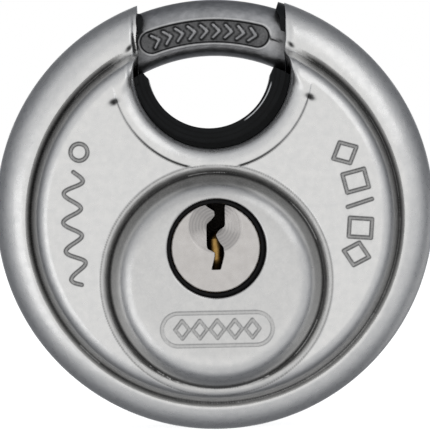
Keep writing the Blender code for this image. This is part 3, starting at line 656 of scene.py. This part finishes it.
def engrave(x, z, height, dirt_and_shade):
    """Cuts the marks into a surface, darkened by dirt and painted shade in them, most along their edges."""
    soft = 0.06  # half the width of a stroke's sloping edge
    for lines, width, depth, darkening in ENGRAVING:
        distance = stroke_distance(x, z, lines)
        cut = 1 - smoothstep(width / 2 - soft, width / 2 + soft, distance)
        height = height - depth * cut
        dirt_and_shade = np.maximum(dirt_and_shade, darkening * np.maximum(0.5 * cut, bell(distance, width / 2, 0.07)))
    return height, dirt_and_shade


def shell_inside(x, z):
    """Height of the sheet's inner face. It comes down to the liner beside the throat."""
    from_centre = np.hypot(x, z)
    edge = np.clip((from_centre - RIM_R) / (DISC_R - SHEET - RIM_R), 0, 1)
    rim = (RIM_H - SHEET) * np.sqrt(np.maximum(1 - edge**2, 0))
    deck = drum(np.hypot(x, z - DECK_Z) + SHEET, DECK_R, RIM_H - SHEET, DECK_H - SHEET, DECK_WALL)
    boss = drum(np.hypot(x, z - BOSS_Z) + SHEET, BOSS_R, DECK_H - SHEET, BOSS_H - SHEET, BOSS_WALL)
    height = np.maximum(rim, np.maximum(deck, boss))
    wall = smoothstep(SHEET + 0.15, SHEET, throat_distance(x, z))
    floor = LINER_H + 0.05 + 0.8 * bell(z, CORNER_Z, 1.2)
    height = height + (np.minimum(height, floor) - height) * wall
    return np.maximum(height, SEAM)


def throat_outline(offset, spacing):
    """Points along the throat's edge, from the left tip round the bottom to the right tip."""
    radius = THROAT_R + offset
    tip_z = math.sqrt(DISC_R**2 - (GAP_X + offset) ** 2)
    wall = np.linspace(tip_z, THROAT_Z, round((tip_z - THROAT_Z) / spacing) + 1)
    left = np.stack([-throat_edge(wall) - offset, wall], axis=1)
    turns = np.linspace(math.pi, 2 * math.pi, round(math.pi * radius / spacing) + 1)[1:-1]
    bottom = np.stack([radius * np.cos(turns), THROAT_Z + radius * np.sin(turns)], axis=1)
    return np.concatenate([left, bottom, left[::-1] * (-1, 1)])


def outer_arc(spacing):
    """Points along the disc's edge, from the right tip round the bottom to the left tip."""
    tip = math.asin(GAP_X / DISC_R)
    turns = np.linspace(tip, 2 * math.pi - tip, round(DISC_R * 5.6 / spacing))[1:-1]
    return np.stack([DISC_R * np.sin(turns), DISC_R * np.cos(turns)], axis=1)


def rings(x, z, radii, spacing):
    """Points on circles about one centre, staggered from each circle to the next."""
    made = []
    for i, radius in enumerate(radii):
        count = max(8, round(2 * math.pi * radius / spacing))
        made.append(circle(radius, x, z, count, 0.5 * (i % 2)))
    return np.concatenate(made)


def grid(low, high, spacing):
    """Points in staggered rows over a rectangle."""
    rows = np.arange(low[1], high[1], spacing * 0.866)
    columns = np.arange(low[0], high[0], spacing)
    shift = np.where(np.arange(len(rows)) % 2, spacing / 2, 0)
    x = columns[None, :] + shift[:, None]
    z = np.broadcast_to(rows[:, None], x.shape)
    return np.stack([x.ravel(), z.ravel()], axis=1)


def gather(families, inside):
    """Joins sets of points, leaving out those too near a point of an earlier set."""
    kept = families[0][0]
    for points, gap in families[1:]:
        points = points[inside(points[:, 0], points[:, 1])]
        tree = KDTree(len(kept))
        for i, (x, z) in enumerate(kept):
            tree.insert((x, z, 0), i)
        tree.balance()
        clear = [tree.find((x, z, 0))[2] > gap for x, z in points]
        kept = np.concatenate([kept, points[np.array(clear, bool)]])
    return kept


def triangulate(points, loops, inside):
    """Triangles over the points, kept where their centres are inside the outline."""
    edges = []
    for start, count in loops:
        edges += [(start + i, start + (i + 1) % count) for i in range(count)]
    made = delaunay_2d_cdt([Vector(point) for point in points], edges, [], 0, 1e-7)
    if len(made[0]) != len(points):
        raise RuntimeError("the triangulation merged or added points")
    order = np.array([origin[0] for origin in made[3]])
    faces = order[np.array(made[2])]
    centres = points[faces].mean(axis=1)
    return faces[inside(centres[:, 0], centres[:, 1])]


def rim_points(steps, spacing):
    """Rings from the disc's edge in to the groove, which lies on a circle set lower."""
    count = round(2 * math.pi * DISC_R / spacing)
    made = []
    for i, share in enumerate(steps):
        way = circle(1, count=count, shift=0.5 * (i % 2))[:, ::-1]  # clockwise from the top
        outer, inner = DISC_R * way, GROOVE_R * way + (0, DECK_Z)
        made.append(outer + (inner - outer) * share)
    return np.concatenate(made)


FIELD = (-25, -25), (25, 25)  # the low and high corners of the plain grids
LIP_OFFSETS = (  # the mesh's rows round the throat, closer at the lip and at the crease
    *(0.03, 0.08, 0.15, 0.25, 0.36, 0.5, 0.66, 0.84, 1.02, 1.22, 1.45, 1.7, 1.95),
    *(2.12, 2.2, 2.25, 2.3, 2.35, 2.4, 2.47, 2.6),
)


def surface_families(front, boundary):
    """The fine mesh's points: rings that follow each step of the drawing, closer at its
    edges, and a plain grid over the flats."""
    families = [(boundary, 0)]
    if front:
        for line in DECK_MARKS + BOSS_FIGURES + BOSS_OUTLINE:
            patch = grid(line.min(axis=0) - 0.45, line.max(axis=0) + 0.45, 0.1)
            near = stroke_distance(patch[:, 0], patch[:, 1], [line]) < 0.36
            families.append((patch[near], 0.06))
        keyhole = KEYHOLE_R + np.array([0.05, 0.12, 0.22, 0.35, 0.6])
        families.append((rings(*KEYHOLE, keyhole, 0.25), 0.08))
    for centre, *_ in PITS:
        families.append((rings(*centre, np.arange(0.06, 0.9, 0.11), 0.12), 0.05))
    boss = np.concatenate([
        np.arange(13.3, 12.8, -0.06),
        np.arange(12.8, 12.4, -0.12),
        np.arange(12.4, 10.8, -0.075),
        np.arange(10.8, 8.5, -0.17),
    ])
    families.append((rings(0, BOSS_Z, boss, 0.28), 0.1))
    for offset in LIP_OFFSETS:
        families.append((throat_outline(offset, 0.24), 0.045 if offset > 2.1 else 0.026))
    deck = np.concatenate([np.arange(21.5, 20.0, -0.07), np.arange(20.0, 17.8, -0.14)])
    families.append((rings(0, DECK_Z, deck, 0.3), 0.08))
    steps = 1 - np.cos(np.linspace(0, math.pi / 2, 18)[1:])
    families.append((rim_points(np.append(steps[:-1], [0.93]), 0.32), 0.09))
    families.append((grid(*FIELD, 0.36), 0.22))
    return families


def inside_families(boundary):
    """A coarser set of points for the sheet's inner face."""
    edge = DISC_R - SHEET
    return [
        (boundary, 0),
        (throat_outline(SHEET - 0.03, 0.5), 0.1),
        (throat_outline(SHEET + 0.16, 0.5), 0.1),
        (rings(0, 0, (edge, edge - 0.05, edge - 0.3, 23.3, 22.4, 21.4), 0.7), 0.1),
        (rings(0, BOSS_Z, np.arange(12.2, 8.4, -0.45), 0.8), 0.25),
        (rings(0, DECK_Z, np.arange(20.4, 17.9, -0.4), 0.9), 0.25),
        (grid(*FIELD, 1.3), 0.6),
    ]


def make_shell(name, front):
    """A shell as one closed solid: fine outside, coarser inside, and walls between them."""
    side = 1 if front else -1
    edge = np.concatenate([throat_outline(0, 0.24), outer_arc(0.3)])
    loops = [(0, len(edge))]
    boundary = edge
    if front:
        keyhole = rings(*KEYHOLE, [KEYHOLE_R], 0.24)
        loops.append((len(edge), len(keyhole)))
        boundary = np.concatenate([edge, keyhole])

    def inside(x, z):
        within = (throat_distance(x, z) > 0) & (np.hypot(x, z) < DISC_R)
        return within & (keyhole_distance(x, z) > 0) if front else within

    vertices, faces, dirt_and_shade_lists, start = [], [], [], 0
    sheets = ((surface_families(front, boundary), True), (inside_families(boundary), False))
    for families, is_outside in sheets:
        points = gather(families, inside)
        if is_outside:
            height, dirt_and_shade = shell_surface(points[:, 0], points[:, 1], front)
        else:
            height, dirt_and_shade = shell_inside(points[:, 0], points[:, 1]), np.zeros(len(points))
        height[: len(edge)][np.hypot(*edge.T) > DISC_R - 0.01] = SEAM
        vertices.append(np.column_stack([points, height * side]))
        dirt_and_shade_lists.append(dirt_and_shade)
        triangles = triangulate(points, loops, inside)
        faces += (triangles + start).tolist()
        inner_start, start = start, start + len(points)
    for first, count in loops:
        for i in range(count):
            a, b = first + i, first + (i + 1) % count
            faces.append((a, b, b + inner_start, a + inner_start))
    mesh = new_mesh(name, np.concatenate(vertices), faces)
    add_attribute(mesh, "dirt_and_shade", np.concatenate(dirt_and_shade_lists))
    finish_mesh(mesh, merge_mm=0.001)
    add_piece(name, mesh, "case", "stainless_shell", name.replace("_skin", ""))


# ---- the shackle ----


def shackle_section(count, clearance=0.0):
    """(radius, height) round the section: oval outside, squarer inside. The points are
    closer together on the front face."""
    turns = np.linspace(0, 2 * np.pi, count, endpoint=False)
    turns = turns + 0.45 * np.cos(turns)
    out, up = np.cos(turns), np.sin(turns)
    power = np.where(out > 0, 1.0, INNER_POWER)
    across = np.sign(out) * np.abs(out) ** power * (SHACKLE_HALF_W + clearance)
    along = np.sign(up) * np.abs(up) ** power * (SHACKLE_HALF_H + clearance)
    return SHACKLE_R + across, along


def make_shackle():
    """The shackle, with a sunk panel along its front face and raised chevrons in it."""
    fine = np.arange(PANEL_START - 2, PANEL_END + 2, 0.28)
    ends = np.array([0.0, 0.25, 0.7, 1.4])
    angles = np.concatenate([
        TOE_ANGLE + ends,
        np.arange(TOE_ANGLE + 2.4, fine[0], 1.0),
        fine,
        np.arange(fine[-1] + 1.0, HEEL_ANGLE - 1.6, 1.0),
        HEEL_ANGLE - ends[::-1],
    ])
    radius, height = shackle_section(132)
    angle, radius = np.meshgrid(angles, radius, indexing="ij")
    height = np.broadcast_to(height, radius.shape).copy()
    mm_per_degree = SHACKLE_R * math.pi / 180
    from_end = np.minimum(angle - TOE_ANGLE, HEEL_ANGLE - angle) * mm_per_degree
    shrink = 1 - fillet_drop(from_end, 0.5) / SHACKLE_HALF_W
    radius = SHACKLE_R + (radius - SHACKLE_R) * shrink
    height = height * shrink

    along, across = (angle - (PANEL_START + PANEL_END) / 2) * mm_per_degree, radius - PANEL_R
    half_length = (PANEL_END - PANEL_START) / 2 * mm_per_degree - PANEL_HALF_W
    from_panel = np.hypot(np.maximum(np.abs(along) - half_length, 0), across) - PANEL_HALF_W
    sunk = 1 - smoothstep(-0.22, 0.02, from_panel)
    raised_line = bell(from_panel, 0.14, 0.09)
    chevron = np.array([(-0.38, 0.72), (0.38, 0.0), (-0.38, -0.72)])
    chevrons = [chevron + (1.42 * i, 0) for i in range(-4, 5)]
    from_chevrons = stroke_distance(along.ravel(), across.ravel(), chevrons).reshape(along.shape)
    raised = 1 - smoothstep(0.1, 0.24, from_chevrons)
    front = height > 0.5 * SHACKLE_HALF_H
    relief = -PANEL_DEPTH * sunk + 0.24 * raised * sunk + 0.05 * raised_line
    height = np.where(front, height + relief, height)
    # Dirt and painted shade in the sunk panel, darkest along its edge and beside the chevrons.
    dirt_and_shade = np.maximum(0.9 * bell(from_panel, -0.12, 0.1), sunk * (0.4 + 0.4 * bell(from_chevrons, 0.26, 0.1)))
    # Behind the front face only the inner side of the bow is darkened, as painted shade.
    dirt_and_shade = np.where(front, dirt_and_shade, 0.08 * (radius < SHACKLE_R))
    flash = np.array([(-0.2, 0.5), (0.2, 0.05), (1.5, 0.2)]) + (half_length + PANEL_HALF_W, 0)
    from_flash = stroke_distance(along.ravel(), across.ravel(), [flash]).reshape(along.shape)
    flash_line = np.where(front, bell(from_flash, 0, 0.1), 0)
    height = height - 0.05 * flash_line
    dirt_and_shade = np.maximum(dirt_and_shade * (1 - 0.8 * raised * sunk), 0.9 * flash_line)
    # Painted shade on the bow where it runs into the case beside the gap.
    shade_at_gap = bell(np.abs(radius * np.sin(np.radians(angle))), GAP_X, 1.1) * smoothstep(1.0, 2.5, height)
    dirt_and_shade = np.maximum(dirt_and_shade, 0.3 * shade_at_gap)
    # Painted highlight along the raised rim round the panel.
    edge_highlight = np.where(front, 0.35 * raised_line, 0)

    mesh = skinned("shackle_bow", np.stack([*polar(radius, angle), height], axis=2))
    add_attribute(mesh, "dirt_and_shade", dirt_and_shade)
    add_attribute(mesh, "edge_highlight", edge_highlight)
    finish_mesh(mesh, sharp=70)
    add_piece("shackle_bow", mesh, "shackle", "shackle_steel", "shackle")


# ---- solids made with modifiers ----


def lofted(name, layers):
    """A closed solid through outlines with the same number of points, each (outline, height)."""
    rows = [np.column_stack([outline, np.full(len(outline), height)]) for outline, height in layers]
    return finish_mesh(skinned(name, rows))


def extruded(name, outline, front_h, back_h):
    """A closed prism of an (x, z) outline, between two heights."""
    return lofted(name, [(outline, front_h), (outline, back_h)])


def lathed(name, profile, x, z, count, upright_at=None):
    """A solid turned about a line through (x, z): profile is (radius, height) from one end
    of the axis to the other, or a closed loop clear of it. With upright_at, the axis stands
    at x and that height out from the joint plane, and the profile's heights go up from z."""
    points = []
    for radius, height in profile:
        level = np.full(count, height)
        if upright_at is None:
            points.append(np.column_stack([circle(radius, x, z, count), level]))
        else:
            ring_x, ring_y = circle(radius, x, upright_at, count).T
            points.append(np.column_stack([ring_x, z + level, ring_y]))
    steps = len(profile)
    hollow = min(radius for radius, _ in profile) > 0
    faces = []
    for i in range(steps if hollow else steps - 1):
        for j in range(count):
            a, b = i * count + j, i * count + (j + 1) % count
            c, d = (i + 1) % steps * count + (j + 1) % count, (i + 1) % steps * count + j
            faces.append((a, b, c, d))
    return finish_mesh(new_mesh(name, np.concatenate(points), faces), merge_mm=0.0005)


def carved(name, base, steps, bevel_mm=0.0):
    """A base mesh after a list of (operation, mesh) Booleans and an optional bevel."""
    obj = add_object(name + "_base", base)
    cutters = []
    for operation, mesh in steps:
        cutters.append(add_object(name + "_step", mesh))
        modifier = obj.modifiers.new(operation, "BOOLEAN")
        modifier.operation = operation
        modifier.solver = "EXACT"
        modifier.object = cutters[-1]
    if bevel_mm:
        weld = obj.modifiers.new("weld", "WELD")
        weld.merge_threshold = 0.01 * MM
        modifier = obj.modifiers.new("bevel", "BEVEL")
        modifier.width = bevel_mm * MM
        modifier.segments = 3
        modifier.limit_method = "ANGLE"
        modifier.angle_limit = math.radians(38)
    bpy.context.view_layer.update()
    graph = bpy.context.evaluated_depsgraph_get()
    mesh = bpy.data.meshes.new_from_object(obj.evaluated_get(graph))
    mesh.name = name
    for used in (obj, *cutters):
        bpy.data.objects.remove(used, do_unlink=True)
    return smooth_mesh(mesh, 40)


def swept_shackle(name, clearance, start, end):
    """The room that the shackle needs, as a solid."""
    radius, height = shackle_section(64, clearance)
    angles = np.linspace(start, end, round((end - start) / 2) + 1)
    return finish_mesh(skinned(name, [np.column_stack([*polar(radius, angle), height]) for angle in angles]))


def make_lug():
    """The lug inside the shackle's heel, with its two stud holes."""
    angles = np.linspace(LUG_START, LUG_END, 12)
    edges = [np.stack(polar(LUG_OUTER_R, angles), axis=1), np.stack(polar(LUG_R, angles[::-1]), axis=1)]
    steps = []
    for angle in STUD_ANGLES:
        hole = circle(STUD_HOLE_R, *polar(STUD_CIRCLE_R, angle), 32)
        steps.append(("DIFFERENCE", extruded("stud_hole", hole, -LUG_LOW_Y - 0.5, -LUG_HIGH_Y - 1)))
    lug = extruded("lug", np.concatenate(edges), -LUG_LOW_Y, -LUG_HIGH_Y)
    mesh = carved("shackle_lug", lug, steps, bevel_mm=0.15)
    add_piece("shackle_lug", mesh, "shackle", "shackle_steel", "shackle")


def rim_body(inset):
    """The inside of both rims together, as a lens that the collars are cut to."""
    turns = np.radians(np.arange(0, 91, 5))
    outer = RIM_R + (DISC_R - RIM_R - inset) * np.sin(turns)
    height = (RIM_H - inset) * np.cos(turns)
    profile = [(0, RIM_H - inset)] + list(zip(outer, height))
    profile += [(r, -h) for r, h in reversed(profile[:-1])]
    return lathed("rim_body", profile, 0, 0, 128)


LEFT_COLLAR = [(-8.35, 14.45), (-8.27, 19.4), (-7.82, 20.6), (-7.82, 22.3), (-8.1, 22.5), (-8.35, 22.5)]
RIGHT_COLLAR = [
    (8.35, 14.45), (8.15, 19.2), (7.87, 20.45), (7.78, 21.8), (7.4, 22.75), (7.78, 23.9),
    (8.35, 23.9),
]
LINER_MOUTH = [  # the top of the liner's opening, with a cut corner at each side
    (-7.16, 15.05), (-7.78, 15.7), (-7.95, 30), (7.6, 30), (7.45, 16.9), (6.98, 16.13),
    (6.6, 15.34),
]


def make_liner():
    """The throat liner, with ledges round its front and rear faces and a collar each side."""
    far = 30.0
    steps = [("INTERSECT", extruded("limit", circle(LINER_LIMIT_R), far, -far))]
    steps.append(("DIFFERENCE", extruded("opening", circle(LINER_R, LINER_X, LINER_Z, 160), far, -far)))
    steps.append(("DIFFERENCE", extruded("mouth", LINER_MOUTH, far, -far)))
    for outline in (LEFT_COLLAR, RIGHT_COLLAR):
        collar = extruded("collar", outline, far, -far)
        steps.append(("UNION", carved("collar", collar, [("INTERSECT", rim_body(COLLAR_GAP))])))
    steps.append(("DIFFERENCE", swept_shackle("channel", CHANNEL_GAP, -45, 45)))
    for side in (-1, 1):
        for inner, outer, depth in LEDGES:
            low, high = (LINER_H - depth) * side, (LINER_H + 2) * side
            profile = [(LINER_R + inner, low), (LINER_R + inner, high)]
            profile += [(LINER_R + outer, high), (LINER_R + outer, low)]
            steps.append(("DIFFERENCE", lathed("ledge", profile, LINER_X, LINER_Z, 128)))
    seat = extruded("seat", circle(LINER_SEAT_R, 0, THROAT_Z), LINER_H, -LINER_H)
    mesh = carved("liner_insert", seat, steps, bevel_mm=0.12)
    add_piece("liner_insert", mesh, "case", "liner_plastic", "throat_liner")


KEYWAY = [  # (x, z) from the plug's axis: wide at the top, with the wards' steps down each side
    (-1.45, 5.3), (-0.95, 4.65), (-0.1, 4.1), (-0.05, 3.6), (-0.45, 3.1), (-1.0, 2.65),
    (-1.0, -0.05), (-0.12, -0.5), (-0.12, -0.95), (-0.4, -2.0), (-0.5, -2.4), (0.5, -2.4),
    (0.65, -1.9), (0.95, -0.75), (0.9, 0.05), (0.45, 0.6), (0.05, 1.4), (0.35, 1.9), (1.1, 2.4),
    (1.1, 4.65), (1.45, 5.3),
]


PINS = [f"key_pin_{i}" for i in range(1, 6)]
PIN_SHADE_Z = PLUG_Z - 1.9  # the key pins get painted shade below this


def pin_y(name):
    low, high = box_mm(name)
    return (low[1] + high[1]) / 2


def rounded(outline, share):
    """A closed outline with each corner cut twice, which leaves it nearly round."""
    for _ in range(2):
        ahead = np.roll(outline, -1, axis=0)
        outline = np.stack([outline + (ahead - outline) * share, ahead - (ahead - outline) * share], 1)
        outline = outline.reshape(-1, 2)
    return outline


def grown(outline, distance):
    """An outline moved outwards, along the mean of its two edges' normals at each point."""
    ahead = np.roll(outline, -1, axis=0) - outline
    tangent = ahead + np.roll(ahead, 1, axis=0)
    tangent /= np.linalg.norm(tangent, axis=1)[:, None]
    x, z = outline.T
    area = (x * np.roll(z, -1) - np.roll(x, -1) * z).sum()
    normal = np.stack([tangent[:, 1], -tangent[:, 0]], axis=1) * math.copysign(1, area)
    return outline + normal * distance


def make_plug():
    """The plug, with its keyway, the key's countersink, pin holes and a flat on its tail."""
    back, tail_back = -PLUG_BACK, -PLUG_HIGH[1]
    edge = 0.1
    profile = [(0, PLUG_FACE), (PLUG_R - edge, PLUG_FACE), (PLUG_R, PLUG_FACE - edge), (PLUG_R, back)]
    profile += [(TAIL_R, back), (TAIL_R, tail_back + edge), (TAIL_R - edge, tail_back), (0, tail_back)]
    base = lathed("plug", profile, 0, PLUG_Z, 144)
    keyway = rounded(np.array(KEYWAY), 0.12) + (0, PLUG_Z)
    chamfer = 0.05
    layers = [(grown(keyway, 2 * chamfer), PLUG_FACE + chamfer), (keyway, PLUG_FACE - chamfer)]
    layers.append((keyway, back + 0.35))
    slope = math.tan(GUIDE_ANGLE)
    guide = [(0, PLUG_FACE - GUIDE_R * slope), (GUIDE_R - 0.06, PLUG_FACE - 0.06 * slope)]
    guide += [(GUIDE_R + 0.07, PLUG_FACE + 0.004), (GUIDE_R + 0.3, PLUG_FACE + 0.3), (0, PLUG_FACE + 0.3)]
    foot, top = PLUG_Z - PLUG_R - 1, PLUG_Z + PIN_HOLE_TOP
    hole = [(0, foot), (PIN_HOLE_R, foot), (PIN_HOLE_R, top), (0, top)]
    holes = [lathed("hole", hole, 0, 0, 32, -pin_y(name)) for name in PINS]
    past = 20.0
    flat_x, low, high = 0.72 * TAIL_R, PLUG_Z - PLUG_R, PLUG_Z + PLUG_R
    flat = extruded("flat", [(flat_x, low), (past, low), (past, high), (flat_x, high)], back - 0.35, -past)
    screw_r = circle(SCREW_HOLE_R, 0, PLUG_Z, 24)
    screw_hole = extruded("screw_hole", screw_r, tail_back + SCREW_HOLE_DEPTH, -past)
    countersink = lathed("guide", guide, 0, PLUG_Z + GUIDE_Z, 144)
    cuts = [lofted("keyway", layers), countersink, flat, screw_hole, *holes]
    mesh = carved("plug_core", base, [("DIFFERENCE", cut) for cut in cuts])
    add_piece("plug_core", mesh, "plug", "plug_nickel", "plug")


def make_key_pins():
    """The key pins, each rounded where the key lifts it, and darkened by painted shade below its tip and towards
    its sides.
    """
    for name in PINS:
        low, high = box_mm(name)
        foot, tip, radius = low[2], high[2], high[0]
        profile = [(0, foot), (radius - 0.2, foot), (radius, foot + 0.2), (radius, PIN_SHADE_Z)]
        profile += [(radius, PIN_SHADE_Z + 0.6), (radius, tip - 0.82)]
        profile += [(radius - 0.03, tip - 0.76), (0.42, tip - 0.04), (0.34, tip), (0, tip)]
        mesh = lathed(name, profile, 0, 0, 48, -pin_y(name))
        points = np.empty(len(mesh.vertices) * 3, np.float32)
        mesh.vertices.foreach_get("co", points)
        x, _, z = points.reshape(-1, 3).T / MM
        shade_below = smoothstep(PIN_SHADE_Z + 0.6, PIN_SHADE_Z, z)
        # Painted shade: dark below, where the keyway's shadow falls, and towards the sides, which are lit only
        # through the slot.
        add_attribute(mesh, "dirt_and_shade", np.maximum(shade_below, 0.6 * smoothstep(0.3, 0.9, np.abs(x - 0.1))))
        add_piece(f"{name}_turned", mesh, "plug", "brass", name)


def make_seal():
    inner, lip, flange = PLUG_R + 0.06, KEYHOLE_R - 0.06, KEYHOLE_R + 0.3
    front, step, back = PLUG_FACE - 0.12, 10.7, 10.28
    middle = (inner + lip) / 2
    profile = [(inner, front - 0.25), (inner + 0.06, front - 0.1), (middle, front)]
    profile += [(lip - 0.04, front - 0.06), (lip, front - 0.15)]
    profile += [(lip, step), (flange, step), (flange, back), (inner, back)]
    mesh = lathed("seal_ring", profile, 0, PLUG_Z, 128)
    add_piece("seal_ring", mesh, "case", "seal_rubber", "keyway_seal")


make_shell("front_shell_skin", True)
make_shell("rear_shell_skin", False)
make_shackle()
make_lug()
make_liner()
make_plug()
make_key_pins()
make_seal()

for part in frame["record"]["subparts"]:
    material = SLOT_MATERIALS[part["material_slot"]]
    node = frame["nodes"][part["node"]]
    node.data.materials.clear()
    node.data.materials.append(material)


# ---- the studio ----

CAMERA_DISTANCE = 0.4
CAMERA_ELEVATION = math.radians(0.8)
CAMERA_ROLL = math.radians(-1.2)
AIM = Vector((0.0, 0.0, -0.00053))
FIELD_WIDTH = 0.04913  # what the picture's width spans at the aim


def make_camera():
    data = bpy.data.cameras.new("camera")
    data.sensor_width = 36.0
    data.lens = 36.0 * CAMERA_DISTANCE / FIELD_WIDTH
    data.clip_start = 0.01
    camera = add_object("camera", data)
    back = Vector((0, -math.cos(CAMERA_ELEVATION), math.sin(CAMERA_ELEVATION)))
    turn = back.to_track_quat("Z", "Y").to_matrix().to_4x4()
    roll = Matrix.Rotation(CAMERA_ROLL, 4, "Z")
    camera.matrix_world = Matrix.Translation(AIM + back * CAMERA_DISTANCE) @ turn @ roll
    bpy.context.scene.camera = camera


SOFTBOX_DISTANCE = 1.2


def make_softbox(name, azimuth, elevation, half_width, half_height, radiance):
    """A soft area light. The angles are as seen from the lock, in degrees, and azimuth is to
    the right of straight in front."""
    data = bpy.data.lights.new(name, "AREA")
    data.shape = "RECTANGLE"
    data.size = 2 * SOFTBOX_DISTANCE * math.tan(math.radians(half_width))
    data.size_y = 2 * SOFTBOX_DISTANCE * math.tan(math.radians(half_height))
    data.energy = radiance * math.pi * data.size * data.size_y
    light = add_object(name, data)
    azimuth, elevation = math.radians(azimuth), math.radians(elevation)
    back = Vector((
        math.sin(azimuth) * math.cos(elevation),
        -math.cos(azimuth) * math.cos(elevation),
        math.sin(elevation),
    ))
    light.location = back * SOFTBOX_DISTANCE
    light.rotation_mode = "QUATERNION"
    light.rotation_quaternion = back.to_track_quat("Z", "Y")
    light.visible_camera = False


def make_lights():
    make_softbox("upper_right", 42, 34, 20, 20, 0.5)
    make_softbox("left", -50, -14, 17, 24, 0.5)
    make_softbox("rear_right", 135, -15, 16, 16, 0.25)


ROOM = (  # brightness of the room by the angle from straight in front of the lock
    *((0, 1.0), (25, 1.0), (45, 0.8), (71, 0.76), (85, 0.56), (100, 0.36)),
    *((116, 0.21), (136, 0.18), (157, 0.19), (169, 0.7), (180, 0.95)),
)


def make_world():
    """White behind the lock for the camera, and for its steel a soft light room: bright in
    front and behind, dim round the sides."""
    world = bpy.data.worlds.new("studio")
    bpy.context.scene.world = world
    world.use_nodes = True
    tree = world.node_tree
    way = add_node(tree, "ShaderNodeTexCoord").outputs["Generated"]
    split = add_node(tree, "ShaderNodeSeparateXYZ", Vector=way)
    room = add_node(tree, "ShaderNodeValToRGB", Fac=fade(tree, split.outputs["Y"], -1, 1))
    stops = room.color_ramp.elements
    while len(stops) < len(ROOM):
        stops.new(1.0)
    for stop, (angle, brightness) in zip(stops, ROOM):
        stop.position = (1 - math.cos(math.radians(angle))) / 2
        cool = 0.045 * (1 - brightness)
        stop.color = (brightness * (1 - cool), brightness, brightness * (1 + 2 * cool), 1.0)
    below = calculate(tree, "MULTIPLY", fade(tree, split.outputs["Z"], -0.35, -0.85), 0.1)
    dimmed = mix(tree, below, room.outputs["Color"], (0.0, 0.0, 0.0))
    path = add_node(tree, "ShaderNodeLightPath")
    colour = mix(tree, path.outputs["Is Camera Ray"], dimmed, (1.0, 1.0, 1.0))
    tree.links.new(colour, tree.nodes["Background"].inputs["Color"])


def make_floor():
    half, z = 3.0, CAD_BOX[0][2]
    mesh = bpy.data.meshes.new("floor")
    corners = [(-half, -half, z), (half, -half, z), (half, half, z), (-half, half, z)]
    mesh.from_pydata(corners, [], [(0, 1, 2, 3)])
    floor = add_object("floor", mesh)
    material = new_material("floor_paper")
    tree, shader = tree_of(material)
    shader.inputs["Roughness"].default_value = 0.9
    shader.inputs["Emission Strength"].default_value = 0.8
    shader.inputs["Emission Color"].default_value = (1.0, 1.0, 1.0, 1.0)
    tree.links.new(ramp(tree, noise(tree, 3.0), 0.80, 0.84), shader.inputs["Base Color"])
    mesh.materials.append(material)
    floor.visible_glossy = False
    floor.visible_shadow = False


make_camera()
make_lights()
make_world()
make_floor()
bpy.context.scene.view_settings.view_transform = "Standard"
